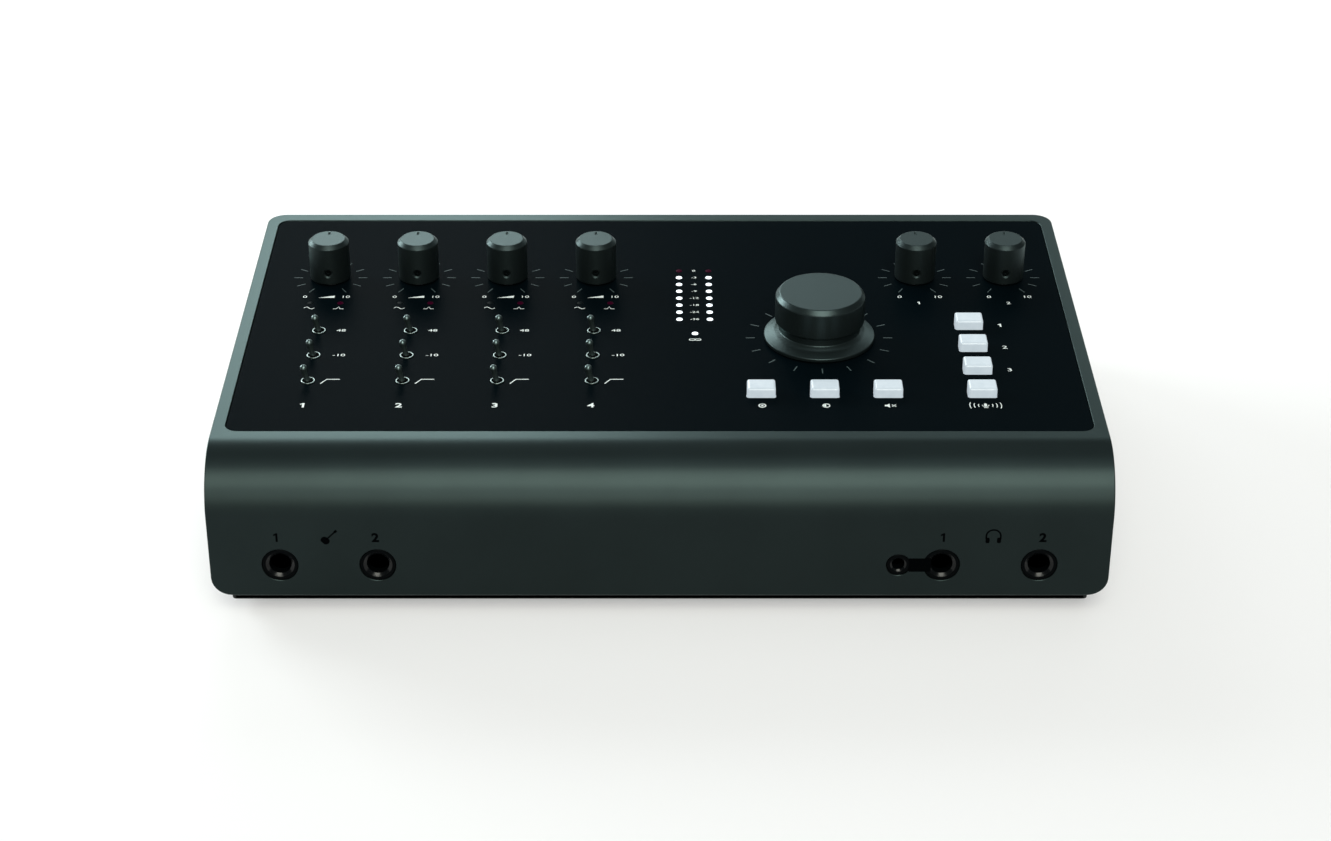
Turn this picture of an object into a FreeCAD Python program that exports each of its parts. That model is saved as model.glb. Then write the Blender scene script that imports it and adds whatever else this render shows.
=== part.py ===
import FreeCAD, Part

# Desktop audio interface with USB: a bent metal shell over a steel tray, with knobs, toggles,
# push buttons, lamps, sockets and circuit boards as separate pieces.
# Millimetres. +X right, +Y to the back, +Z up, origin on the floor under the middle of the shell.

import math
import os
from types import SimpleNamespace

import Sketcher

SIZES = {
    # Shell, one plate bent over the nose from the top down to the front
    "shell_width": 268,
    "shell_depth": 169.5,
    "shell_height": 52,
    "shell_wall": 3,
    "nose_radius": 17.7,
    "corner_round": 6,
    "skirt_gap": 4.5,
    "foot_height": 3,
    "foot_radius": 9,
    "foot_inset": 22,
    "foot_bevel": 0.8,
    # Black panel let into the top of the shell
    "fascia_start": 21.6,
    "fascia_side": 4,
    "fascia_back": 4.8,
    "fascia_thick": 1.2,
    "fascia_sink": 0.2,
    "fascia_round": 4,
    "fascia_gap": 0.15,
    # Steel chassis
    "sheet_wall": 1.5,
    "side_inset": 3.5,
    "side_flange": 8,
    "flange_gap": 2,
    "cheek_short": 1,
    "tray_front": 4.9,
    "tray_lip": 9,
    "tray_round": 1.2,
    "rear_inset": 6,
    "rear_flange": 10,
    "vent_length": 36,
    "vent_wide": 2.4,
    "vent_pitch": 6,
    "vent_apart": 100,
    # Circuit boards
    "board_thick": 1.6,
    "board_gap": 1.2,
    "board_back_gap": 0.3,
    "main_rise": 6,
    "control_drop": 14,
    "control_start": 33,
    "control_end": 132,
    "control_inset": 12,
    # Control places, as distances behind the front face and in from the nearer side
    "channel_inset": 25.7,
    "channel_pitch": 29.13,
    "knob_row": 122.1,
    "phones_inset": 21.08,
    "phones_pitch": 29.05,
    "dial_inset": 83.6,
    "dial_row": 80.4,
    "toggle_row": 52.4,
    "toggle_pitch": 16.33,
    "button_row": 45.3,
    "button_pitch": 19.4,
    "column_inset": 35.5,
    "column_pitch": 14.63,
    "meter_inset": 122.8,
    "meter_half": 4.87,
    "meter_row": 93,
    "meter_pitch": 4.87,
    "link_lamp_row": 83.4,
    "channel_lamp_row": 104.2,
    "channel_lamp_half": 4.9,
    "lamp_radius": 1,
    "lamp_proud": 0.1,
    # Small knobs and the potentiometers under them
    "knob_radius": 6.6,
    "knob_top": 14.4,
    "knob_bevel": 0.95,
    "knob_lift": 0.8,
    "pointer_start": 2.2,
    "pointer_end": 4.6,
    "pointer_wide": 0.6,
    "pointer_deep": 0.3,
    "screw_height": 4.7,
    "screw_radius": 1.5,
    "screw_sink": 1.2,
    "nut_gap": 0.4,
    "skirt_roof": 1,
    "shaft_radius": 3,
    "shaft_flat": 2.5,
    "shaft_top": 12,
    "shaft_fit": 0.02,
    "shaft_end_gap": 0.2,
    "shaft_foot_gap": 0.3,
    "flat_clear": 0.4,
    "bush_radius": 3.5,
    "bush_top": 2.2,
    "nut_radius": 5,
    "nut_thick": 1.6,
    "pot_side": 10,
    "pot_body": 7.5,
    "pot_floor": 1,
    # Large dial and its encoder
    "dial_flange": 17.5,
    "dial_rim_low": 0.6,
    "dial_rim_high": 1.8,
    "dial_neck": 12.7,
    "dial_neck_low": 3.7,
    "dial_neck_high": 6,
    "dial_radius": 14.1,
    "dial_wall_low": 6.9,
    "dial_wall_high": 15,
    "dial_top": 16.5,
    "dial_face": 12.85,
    "dial_foot_out": 1.6,
    "dial_foot_drop": 0.9,
    "dial_nut_gap": 1,
    "dial_screw": 0.9,
    "dial_screw_height": 4.85,
    "encoder_bush": 4.5,
    "encoder_nut": 7,
    "encoder_side": 13,
    # Toggle switches
    "toggle_lean": 11,
    "toggle_pivot": 1,
    "lever_radius": 1.18,
    "lever_neck": 0.9,
    "lever_length": 6.6,
    "ball_radius": 1.7,
    "pivot_pin": 0.4,
    "pivot_pin_length": 4.2,
    "tail_radius": 0.7,
    "tail_length": 4,
    "collar_radius": 2.15,
    "collar_bore": 1.8,
    "collar_proud": 0.3,
    "switch_side": 7,
    "switch_gap": 0.3,
    "tail_gap": 0.6,
    # Push buttons
    "button_wide": 8.65,
    "button_deep": 6.4,
    "button_high": 3,
    "button_round": 0.7,
    "button_gap": 0.15,
    "button_rim": 1.1,
    "button_travel": 0.8,
    "button_sink": 0.4,
    "button_soft": 0.6,
    "rim_thick": 1,
    "stem_radius": 1.6,
    "stem_reach": 1.2,
    "stem_gap": 0.2,
    "tact_side": 6,
    "tact_height": 4,
    # Sockets
    "jack_inset": 21,
    "jack_pitch": 29.1,
    "jack_drop": 33.7,
    "jack_nose": 5.3,
    "jack_bore": 3.25,
    "jack_depth": 31,
    "jack_mouth": 1.5,
    "jack_wide": 15.2,
    "jack_end": 1.5,
    "jack_sink": 0.2,
    "nose_past": 0.2,
    "mini_inset": 63,
    "mini_nose": 3.5,
    "mini_bore": 1.78,
    "mini_depth": 14,
    "mini_mouth": 0.6,
    "combo_wide": 26.6,
    "combo_high": 29,
    "combo_round": 2,
    "combo_proud": 1,
    "combo_end": 1,
    "combo_depth": 24,
    "combo_nose": 12,
    "combo_ring": 9.6,
    "combo_insert": 7.9,
    "combo_ring_deep": 15,
    "contact_ring": 5.7,
    "contact_radius": 1.2,
    "contact_deep": 8,
    "combo_screw": 10.6,
    "combo_head": 2.1,
    "line_inset": 77.2,
    "line_pitch": 17.6,
    "line_proud": 1.6,
    "line_past": 0.1,
    "optical_inset": 45.6,
    "optical_pitch": 12.4,
    "optical_side": 9.8,
    "optical_port": 6.6,
    "optical_deep": 9,
    "optical_end": 4.8,
    "optical_proud": 0.5,
    "usb_inset": 33.4,
    "usb_wide": 8.94,
    "usb_high": 3.26,
    "usb_wall": 0.3,
    "usb_deep": 6,
    "usb_end": 1.4,
    "usb_proud": 0.3,
    "usb_tongue": 0.7,
    "usb_tongue_side": 1.1,
    "usb_tongue_short": 0.8,
    "power_inset": 23.6,
    "power_side": 9.2,
    "power_bore": 2.85,
    "power_run": 14,
    "power_nose": 1.8,
    "power_rim": 1,
    "power_deep": 9.5,
    "power_pin": 1,
    "power_pin_sink": 0.5,
    "switch_inset": 13,
    "push_radius": 2.6,
    "push_travel": 2,
    "push_proud": 3,
    "push_inside": 7,
    "push_room": 1,
    "push_soft": 0.5,
    # Screws and fits
    "screw_shank": 1.25,
    "screw_head": 2.5,
    "screw_head_high": 1.3,
    "board_bite": 3.5,
    "combo_bite": 8,
    "cheek_bite": 0.8,
    "post_radius": 2.75,
    "post_inset": 12,
    "control_post_near": 40,
    "control_post_far": 108,
    "control_post_shift": 17,
    "main_post_near": 50,
    "main_post_far": 130,
    "main_post_shift": 11,
    "side_screw_front": 16,
    "side_screw_middle": 78,
    "side_screw_rear": 24,
    "side_screw_drop": 2.5,
    "flange_screw_inset": 8,
    "shroud_high": 8,
    "running_gap": 0.05,
    "hole_gap": 0.1,
}

BUTTON_COUNT = 3
COLUMN_COUNT = 4
CHANNEL_COUNT = 4
LINE_COUNT = 4
ROW_NAMES = ("low", "mid", "top")
TOGGLE_ROWS = len(ROW_NAMES)
METER_ROWS = 8
VENT_ROWS = 9

# Parts on the main board: square chips as (x, y, width), and a row of round capacitors
CHIPS = [(44, -5, 20), (-20, 5, 12), (-60, 5, 12), (-95, 5, 12), (80, 15, 10)]
CHIP_HIGH = 1.6
CANS = [38, 52, 66, 80, 94]
CAN_ROW = 34
CAN_RADIUS = 4
CAN_HIGH = 11
# Pin header between the boards
LINK_PLACE = (24, 10)
LINK_WIDE = 30
LINK_DEEP = 5
LINK_PIN_INSET = 1
# Angles of the three contacts of a microphone socket
CONTACT_TURNS = (30, 150, 270)
# Where the toggle's ball is cut to meet its tail and its neck, as shares of its radius
BALL_TAIL = 0.9
BALL_ACROSS = 0.8
BALL_UP = 0.6
# Slack that keeps a full-round end's two arcs apart
ROUND_SLACK = 0.01
# How far apart two lengths may lie and still count as the same
CLOSE = 0.01
UPWARDS = FreeCAD.Vector(0, 0, 1)
HALF_TURN = 180

doc = FreeCAD.newDocument("audio_interface")
sheet = doc.addObject("Spreadsheet::Sheet", "Sizes")
nodes = {}


class Size:
    """A length that carries its number and the sheet expression that gives it."""

    def __init__(self, text, number):
        self.text = text
        self.number = float(number)

    def join(self, sign, other, number, first=True):
        left, right = (self, other) if first else (other, self)
        return Size(f"({left.text} {sign} {right.text})", number)

    def __add__(self, other):
        other = as_size(other)
        return self.join("+", other, self.number + other.number)

    def __sub__(self, other):
        other = as_size(other)
        return self.join("-", other, self.number - other.number)

    def __rsub__(self, other):
        other = as_size(other)
        return self.join("-", other, other.number - self.number, first=False)

    def __mul__(self, other):
        other = as_size(other)
        return self.join("*", other, self.number * other.number)

    def __truediv__(self, other):
        other = as_size(other)
        return self.join("/", other, self.number / other.number)

    def __neg__(self):
        return Size(f"(0 - {self.text})", -self.number)

    __radd__ = __add__
    __rmul__ = __mul__


def as_size(value):
    return value if isinstance(value, Size) else Size(repr(float(value)), value)


def bind(thing, name, size):
    """Tie one property of a document object to the sheet."""
    thing.setExpression(name, as_size(size).text)


def fill_sheet():
    for row, (name, value) in enumerate(SIZES.items(), start=1):
        sheet.set(f"A{row}", name)
        sheet.set(f"B{row}", str(value))
        sheet.setAlias(f"B{row}", name)
    doc.recompute()


fill_sheet()
S = SimpleNamespace(**{name: Size(f"Sizes.{name}", value) for name, value in SIZES.items()})

# Planes and levels that many pieces share
front = -S.shell_depth / 2
back = S.shell_depth / 2
side = S.shell_width / 2
skirt_edge = S.foot_height + S.skirt_gap
plate_under = S.shell_height - S.shell_wall
fascia_top = S.shell_height - S.fascia_sink
fascia_under = fascia_top - S.fascia_thick
tray_side = side - S.side_inset - S.sheet_wall
tray_floor = S.foot_height + S.sheet_wall
tray_edge = S.foot_height + S.tray_lip
rear_outer = back - S.rear_inset
rear_inner = rear_outer - S.sheet_wall
main_under = tray_floor + S.main_rise
main_top = main_under + S.board_thick
control_top = S.shell_height - S.control_drop
control_under = control_top - S.board_thick
jack_level = S.shell_height - S.jack_drop
switch_top = plate_under - S.switch_gap
pivot_level = S.shell_height - S.toggle_pivot
combo_level = main_top + S.combo_high / 2

# Places of the controls, as (x, y)
channels = [S.channel_inset - side + S.channel_pitch * i for i in range(CHANNEL_COUNT)]
phones = [side - S.phones_inset - S.phones_pitch, side - S.phones_inset]
dial_x = side - S.dial_inset
column_x = side - S.column_inset
meter_x = side - S.meter_inset
knob_y = front + S.knob_row
gain_places = [(x, knob_y) for x in channels]
phones_places = [(x, knob_y) for x in phones]
pot_places = gain_places + phones_places
dial_place = (dial_x, front + S.dial_row)
toggle_ys = [front + S.toggle_row + S.toggle_pitch * i for i in range(TOGGLE_ROWS)]
toggle_places = [(x, y) for x in channels for y in toggle_ys]
row_places = [
    (dial_x + S.button_pitch * (i - BUTTON_COUNT // 2), front + S.button_row)
    for i in range(BUTTON_COUNT)
]
column_places = [
    (column_x, front + S.button_row + S.column_pitch * i) for i in range(COLUMN_COUNT)
]
button_places = row_places + column_places
meter_places = [
    (meter_x + S.meter_half * hand, front + S.meter_row + S.meter_pitch * i)
    for hand in (-1, 1)
    for i in range(METER_ROWS)
]
channel_lamps = [
    (x + S.channel_lamp_half * hand, front + S.channel_lamp_row) for x in channels for hand in (-1, 1)
]
link_lamp = (meter_x, front + S.link_lamp_row)

# Places of the sockets across the front and the rear
front_jacks_x = [S.jack_inset - side, S.jack_inset + S.jack_pitch - side] + phones
mini_x = side - S.mini_inset
line_x = [side - S.line_inset - S.line_pitch * i for i in range(LINE_COUNT)]
optical_x = [side - S.optical_inset - S.optical_pitch, side - S.optical_inset]
usb_x = side - S.usb_inset
power_x = side - S.power_inset
switch_x = side - S.switch_inset
optical_level = main_top + S.optical_side / 2
usb_level = main_top + S.usb_high / 2
power_level = main_top + S.power_side / 2
nose_run = S.shell_wall + S.nose_past
front_mouth = front + S.jack_sink
rear_mouth = rear_outer + S.line_proud

# Fasteners: posts between board and shell, posts under the main board, screws in the sides
post_x = tray_side - S.post_inset
control_posts = [
    (x, front + y)
    for x in (-post_x, meter_x - S.control_post_shift, post_x)
    for y in (S.control_post_near, S.control_post_far)
]
main_posts = [
    (x, front + y)
    for x in (-post_x, meter_x - S.main_post_shift, post_x)
    for y in (S.main_post_near, S.main_post_far)
]
# Side screws as (y, z): into the tray's lip, and into the rear panel's flange
tray_screws = [
    (y, tray_edge - S.side_screw_drop)
    for y in (front + S.side_screw_front, front + S.side_screw_middle, rear_inner - S.side_screw_rear)
]
flange_screws = [
    (rear_inner - S.rear_flange / 2, z)
    for z in (tray_edge + S.flange_screw_inset, plate_under - S.flange_screw_inset)
]
combo_screws = [
    (x + S.combo_screw * hand, combo_level + S.combo_screw * hand) for x in channels for hand in (-1, 1)
]


class Piece:
    """A body with its sketches and features, all bound to the sheet."""

    def __init__(self, name, node=True):
        self.name = name
        self.body = doc.addObject("PartDesign::Body", name)
        self.body.Label = name
        self.count = 0
        if node:
            nodes[name] = self.body

    def sketch(self, plane="XY", lift=0):
        """A sketch on one origin plane, moved along that plane's normal (XZ faces -Y)."""
        self.count += 1
        sketch = self.body.newObject("Sketcher::SketchObject", f"{self.name}_sketch_{self.count}")
        role = f"{plane}_Plane"
        origin = [item for item in self.body.Origin.OriginFeatures if item.Role == role][0]
        sketch.AttachmentSupport = [(origin, "")]
        sketch.MapMode = "FlatFace"
        bind(sketch, "AttachmentOffset.Base.z", lift)
        return sketch

    def feature(self, kind, sketch=None):
        self.count += 1
        feature = self.body.newObject(f"PartDesign::{kind}", f"{self.name}_{kind.lower()}_{self.count}")
        if sketch is not None:
            feature.Profile = sketch
        return feature

    def pad(self, sketch, length, both=False, away=False):
        """Add material along the sketch's normal, against it, or to both sides of it."""
        pad = self.feature("Pad", sketch)
        bind(pad, "Length", length)
        pad.SideType = "Symmetric" if both else "One side"
        pad.Reversed = away
        return pad

    def pocket(self, sketch, depth=None, ahead=False):
        """Cut against the sketch's normal, along it if ahead, or right through with no depth."""
        doc.recompute()
        before = self.body.Tip.Shape.Volume
        pocket = self.feature("Pocket", sketch)
        if depth is None:
            pocket.Type = "ThroughAll"
            pocket.SideType = "Symmetric"
        else:
            bind(pocket, "Length", depth)
            pocket.Reversed = ahead
        doc.recompute()
        if pocket.Shape.isNull() or pocket.Shape.Volume > before - 1e-4:
            raise RuntimeError(f"{pocket.Name} cuts nothing")
        return pocket

    def turn(self, sketch):
        """Revolve the outline about the sketch's upright axis."""
        turned = self.feature("Revolution", sketch)
        turned.ReferenceAxis = (sketch, ["V_Axis"])
        turned.Angle = 360
        return turned

    def grid(self, features, x_step, x_count, y_step, y_count):
        """Repeat features in columns along X and rows along Y."""
        axes = {item.Role: item for item in self.body.Origin.OriginFeatures}
        pattern = self.feature("LinearPattern")
        pattern.Originals = features
        pattern.Direction = (axes["X_Axis"], [""])
        bind(pattern, "Length", x_step * (x_count - 1))
        pattern.Occurrences = x_count
        pattern.Direction2 = (axes["Y_Axis"], [""])
        bind(pattern, "Length2", y_step * (y_count - 1))
        pattern.Occurrences2 = y_count
        self.body.Tip = pattern
        return pattern

    def soften(self, kind, size, test):
        """Fillet or chamfer every edge that passes the test."""
        doc.recompute()
        base = self.body.Tip
        names = [f"Edge{i}" for i, edge in enumerate(base.Shape.Edges, start=1) if test(edge)]
        if not names:
            raise RuntimeError(f"{self.name} has no edge to soften")
        feature = self.feature(kind)
        feature.Base = (base, names)
        bind(feature, "Radius" if kind == "Fillet" else "Size", size)
        return feature

    def place(self, x, y, z):
        for axis, value in zip("xyz", (x, y, z)):
            bind(self.body, f"Placement.Base.{axis}", value)


def place_rules(item, end, x, y):
    """The two distances from the sketch's origin that fix one point, each with its size."""
    x, y = as_size(x), as_size(y)
    return [
        (Sketcher.Constraint("DistanceX", -1, 1, item, end, x.number), x),
        (Sketcher.Constraint("DistanceY", -1, 1, item, end, y.number), y),
    ]


def radius_rule(item, radius):
    return (Sketcher.Constraint("Radius", item, radius.number), radius)


def constrain(sketch, rules):
    """Add the rules in one step, and tie each one that has a size to the sheet."""
    first = sketch.ConstraintCount
    sketch.addConstraint([rule for rule, _ in rules])
    for spot, (_, size) in enumerate(rules, start=first):
        if size is not None:
            sketch.setExpression(f"Constraints[{spot}]", size.text)


def arc_between(start, end, radius, left):
    """The short arc of that radius from start to end, turning left or right."""
    chord = end - start
    middle = (start + end) * 0.5
    rise = math.sqrt(max(radius ** 2 - (chord.Length / 2) ** 2, 0))
    across = FreeCAD.Vector(-chord.y, chord.x, 0).normalize()
    centre = middle + across * (rise if left else -rise)
    first, last = (start, end) if left else (end, start)
    angles = [math.atan2(p.y - centre.y, p.x - centre.x) for p in (first, last)]
    if angles[1] <= angles[0]:
        angles[1] += 2 * math.pi
    return Part.ArcOfCircle(Part.Circle(centre, UPWARDS, radius), *angles)


def outline(sketch, points):
    """Close a run of points. A third entry, (radius, left), bends the run that leaves its point."""
    spots = [FreeCAD.Vector(as_size(p[0]).number, as_size(p[1]).number, 0) for p in points]
    ends = []
    rules = []
    for i, point in enumerate(points):
        start, end = spots[i], spots[(i + 1) % len(spots)]
        if len(point) == 3:
            radius, left = as_size(point[2][0]), point[2][1]
            item = sketch.addGeometry(arc_between(start, end, radius.number, left))
            rules.append(radius_rule(item, radius))
            ends.append((item, 1, 2) if left else (item, 2, 1))
        else:
            ends.append((sketch.addGeometry(Part.LineSegment(start, end)), 1, 2))
    for i, point in enumerate(points):
        item, first, last = ends[i]
        following, follow_first, _ = ends[(i + 1) % len(ends)]
        rules.append((Sketcher.Constraint("Coincident", item, last, following, follow_first), None))
        rules.extend(place_rules(item, first, point[0], point[1]))
    constrain(sketch, rules)


def box(sketch, x, y, wide, tall, corner=None):
    """A rectangle about (x, y), with its corners rounded if a radius is given."""
    x, y, wide, tall = as_size(x), as_size(y), as_size(wide), as_size(tall)
    left, right = x - wide / 2, x + wide / 2
    low, high = y - tall / 2, y + tall / 2
    if corner is None:
        outline(sketch, [(left, low), (right, low), (right, high), (left, high)])
        return
    bend = (corner, True)
    outline(sketch, [
        (left + corner, low), (right - corner, low, bend),
        (right, low + corner), (right, high - corner, bend),
        (right - corner, high), (left + corner, high, bend),
        (left, high - corner), (left, low + corner, bend),
    ])


def rings(sketch, places, radius):
    """A circle of one radius at each place."""
    radius = as_size(radius)
    rules = []
    for x, y in places:
        centre = FreeCAD.Vector(as_size(x).number, as_size(y).number, 0)
        item = sketch.addGeometry(Part.Circle(centre, UPWARDS, radius.number))
        rules.extend(place_rules(item, 3, x, y))
        rules.append(radius_rule(item, radius))
    constrain(sketch, rules)


def solid(kind, name, sizes, place):
    """A primitive with its sizes and its place bound to the sheet."""
    item = doc.addObject(f"Part::{kind}", name)
    for key, value in sizes.items():
        bind(item, key, value)
    for axis, value in zip("xyz", place):
        bind(item, f"Placement.Base.{axis}", value)
    return item


def rod(name, radius, length, place, along="Z"):
    """A cylinder that starts at its place and runs along +Z, +Y or +X."""
    item = solid("Cylinder", name, {"Radius": radius, "Height": length}, place)
    turns = {"Z": ((0, 0, 1), 0), "Y": ((1, 0, 0), -90), "X": ((0, 1, 0), 90)}
    axis, angle = turns[along]
    item.Placement.Rotation = FreeCAD.Rotation(FreeCAD.Vector(*axis), angle)
    return item


def block(name, low, size):
    """A box from its low corner."""
    return solid("Box", name, dict(zip(("Length", "Width", "Height"), size)), low)


def join(name, parts):
    item = doc.addObject("Part::MultiFuse", name)
    item.Shapes = parts
    return item


def carve(name, base, tool):
    item = doc.addObject("Part::Cut", name)
    item.Base = base
    item.Tool = tool
    return item


def group(name, parts):
    """Separate solids that make one node."""
    item = doc.addObject("Part::Compound", name)
    item.Links = parts
    return item


def keep(name, item):
    item.Label = name
    nodes[name] = item


def near(a, b):
    return abs(a - as_size(b).number) < CLOSE


def upright(edge):
    """True of a straight edge along Z."""
    bounds = edge.BoundBox
    return bounds.XLength < CLOSE and bounds.YLength < CLOSE


def toggle_grid(piece, features):
    """Repeat what is made for the first toggle at the other eleven."""
    return piece.grid(features, S.channel_pitch, CHANNEL_COUNT, S.toggle_pitch, TOGGLE_ROWS)


def control_holes(piece, level, gap):
    """The holes that every control passes through, in a plate whose upper face is at level."""
    for places, radius in (
        (pot_places, S.bush_radius), ([dial_place], S.encoder_bush), (meter_places, S.lamp_radius),
        (channel_lamps, S.lamp_radius), ([link_lamp], S.lamp_radius),
    ):
        holes = piece.sketch(lift=level)
        rings(holes, places, radius + gap)
        piece.pocket(holes)
    hole = piece.sketch(lift=level)
    rings(hole, toggle_places[:1], S.collar_radius + gap)
    toggle_grid(piece, [piece.pocket(hole)])
    for x, y in button_places:
        window = piece.sketch(lift=level)
        wide = S.button_wide + (S.button_gap + gap) * 2
        deep = S.button_deep + (S.button_gap + gap) * 2
        box(window, x, y, wide, deep, S.button_round + S.button_gap + gap)
        piece.pocket(window)


# Housing


def wrap_shell():
    piece = Piece("wrap_shell")
    profile = piece.sketch("YZ")
    inner = S.nose_radius - S.shell_wall
    outline(profile, [
        (front, skirt_edge),
        (front + S.shell_wall, skirt_edge),
        (front + S.shell_wall, S.shell_height - S.nose_radius, (inner, False)),
        (front + S.nose_radius, plate_under),
        (back, plate_under),
        (back, S.shell_height),
        (front + S.nose_radius, S.shell_height, (S.nose_radius, True)),
        (front, S.shell_height - S.nose_radius),
    ])
    piece.pad(profile, S.shell_width, both=True)

    def outer_corner(edge):
        at = edge.CenterOfMass
        rear = upright(edge) and near(at.y, back)
        foot = near(edge.Length, S.shell_wall) and near(at.z, skirt_edge)
        return near(abs(at.x), side) and (rear or foot)

    piece.soften("Fillet", S.corner_round, outer_corner)
    recess = piece.sketch(lift=S.shell_height)
    recess_deep = S.shell_depth - S.fascia_start - S.fascia_back
    box(recess, 0, front + S.fascia_start + recess_deep / 2,
        S.shell_width - S.fascia_side * 2, recess_deep, S.fascia_round)
    piece.pocket(recess, S.shell_height - fascia_under)
    control_holes(piece, S.shell_height, S.hole_gap * 2)
    sockets = piece.sketch("XZ")
    rings(sockets, [(x, jack_level) for x in front_jacks_x], S.jack_nose + S.hole_gap)
    rings(sockets, [(mini_x, jack_level)], S.mini_nose + S.hole_gap)
    piece.pocket(sockets)


def top_fascia():
    piece = Piece("top_fascia")
    plate = piece.sketch(lift=fascia_under)
    deep = S.shell_depth - S.fascia_start - S.fascia_back
    box(plate, 0, front + S.fascia_start + deep / 2,
        S.shell_width - (S.fascia_side + S.fascia_gap) * 2, deep - S.fascia_gap * 2,
        S.fascia_round - S.fascia_gap)
    piece.pad(plate, S.fascia_thick)
    control_holes(piece, fascia_top, S.hole_gap)


def side_panel(name, hand):
    """Upright cheek just inside the bent shell, with a flange under the top and screw holes."""
    piece = Piece(name)
    gap = S.fascia_gap
    inner = S.nose_radius - S.shell_wall - gap
    rear = back - S.cheek_short
    cheek = piece.sketch("YZ", lift=tray_side * hand)
    outline(cheek, [
        (front + S.shell_wall + gap, skirt_edge),
        (rear, skirt_edge),
        (rear, plate_under),
        (front + S.nose_radius, plate_under),
        (front + S.nose_radius, plate_under - gap, (inner, True)),
        (front + S.shell_wall + gap, S.shell_height - S.nose_radius),
    ])
    piece.pad(cheek, S.sheet_wall, away=hand < 0)
    flange = piece.sketch("XY", lift=plate_under)
    start = front + S.nose_radius + S.flange_gap
    run = rear_inner - S.rear_flange - S.flange_gap - start
    box(flange, (tray_side - S.side_flange / 2) * hand, start + run / 2, S.side_flange, run)
    piece.pad(flange, S.sheet_wall, away=True)
    holes = piece.sketch("YZ")
    rings(holes, tray_screws + flange_screws, S.screw_shank + S.hole_gap)
    piece.pocket(holes)


def base_tray():
    piece = Piece("base_tray")
    wide = tray_side * 2
    low, high = front + S.tray_front, rear_outer
    deep = high - low
    plan = piece.sketch(lift=S.foot_height)
    box(plan, 0, low + deep / 2, wide, deep, S.tray_round)
    piece.pad(plan, S.tray_lip)
    hollow = piece.sketch(lift=tray_edge)
    wall = S.sheet_wall
    box(hollow, 0, low + deep / 2, wide - wall * 2, deep - wall * 2, S.tray_round)
    piece.pocket(hollow, S.tray_lip - wall)
    mouth = piece.sketch(lift=tray_edge)
    box(mouth, 0, high, wide * 2, (S.rear_flange + wall + S.board_gap) * 2)
    piece.pocket(mouth, S.tray_lip - wall)
    vent = piece.sketch(lift=tray_floor)
    box(vent, -S.vent_apart / 2, S.vent_pitch * (1 - VENT_ROWS) / 2, S.vent_length, S.vent_wide,
        S.vent_wide / 2 - ROUND_SLACK)
    piece.grid([piece.pocket(vent)], S.vent_apart, 2, S.vent_pitch, VENT_ROWS)
    holes = piece.sketch("YZ")
    rings(holes, tray_screws, S.screw_shank)
    piece.pocket(holes)


def rear_panel():
    piece = Piece("rear_panel")
    plan = piece.sketch(lift=tray_floor)
    wall = S.sheet_wall
    start = rear_inner - S.rear_flange
    outline(plan, [
        (-tray_side, start), (wall - tray_side, start), (wall - tray_side, rear_inner),
        (tray_side - wall, rear_inner), (tray_side - wall, start), (tray_side, start),
        (tray_side, rear_outer), (-tray_side, rear_outer),
    ])
    piece.pad(plan, plate_under - tray_floor)
    holes = piece.sketch("XZ", lift=-rear_outer)
    gap = S.hole_gap
    rings(holes, [(x, combo_level) for x in channels], S.combo_nose + gap)
    rings(holes, combo_screws, S.screw_shank + gap)
    rings(holes, [(x, jack_level) for x in line_x], S.jack_nose + gap)
    for x in optical_x:
        box(holes, x, optical_level, S.optical_side + gap * 2, S.optical_side + gap * 2)
    box(holes, usb_x, usb_level, S.usb_wide + gap * 2, S.usb_high + gap * 2, S.usb_high / 2)
    rings(holes, [(power_x, power_level)], S.power_bore + S.power_rim + gap)
    rings(holes, [(switch_x, power_level)], S.push_radius + S.power_rim + gap)
    piece.pocket(holes, wall * 2, ahead=True)
    flanges = piece.sketch("YZ")
    rings(flanges, flange_screws, S.screw_shank)
    piece.pocket(flanges)


def rubber_feet():
    """Four round feet with a bevelled foot edge."""
    piece = Piece("rubber_feet")
    plan = piece.sketch()
    x = side - S.foot_inset
    near_y, far_y = front + S.foot_inset, rear_outer - S.foot_inset
    rings(plan, [(-x, near_y), (x, near_y), (-x, far_y), (x, far_y)], S.foot_radius)
    piece.pad(plan, S.foot_height)
    piece.soften("Chamfer", S.foot_bevel, lambda edge: near(edge.CenterOfMass.z, 0) and edge.Closed)


def case_screws():
    """Heads outside the cheeks, the rear panel and the boards, each with its shank."""
    piece = Piece("case_screws")
    cheek = tray_side + S.sheet_wall
    for hand in (-1, 1):
        heads = piece.sketch("YZ", lift=cheek * hand)
        rings(heads, tray_screws + flange_screws, S.screw_head)
        piece.pad(heads, S.screw_head_high, away=hand < 0)
        shanks = piece.sketch("YZ", lift=cheek * hand)
        rings(shanks, tray_screws + flange_screws, S.screw_shank)
        piece.pad(shanks, S.sheet_wall * 2 + S.cheek_bite, away=hand > 0)
    heads = piece.sketch("XZ", lift=-rear_outer)
    rings(heads, combo_screws, S.combo_head)
    piece.pad(heads, S.screw_head_high, away=True)
    shanks = piece.sketch("XZ", lift=-rear_outer)
    rings(shanks, combo_screws, S.screw_shank)
    piece.pad(shanks, S.combo_bite)
    for places, level, up in ((main_posts, main_top, True), (control_posts, control_under, False)):
        heads = piece.sketch(lift=level)
        rings(heads, places, S.screw_head)
        piece.pad(heads, S.screw_head_high, away=not up)
        shanks = piece.sketch(lift=level)
        rings(shanks, places, S.screw_shank)
        piece.pad(shanks, S.board_thick + S.board_bite, away=up)


# Boards and what stands on them


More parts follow.
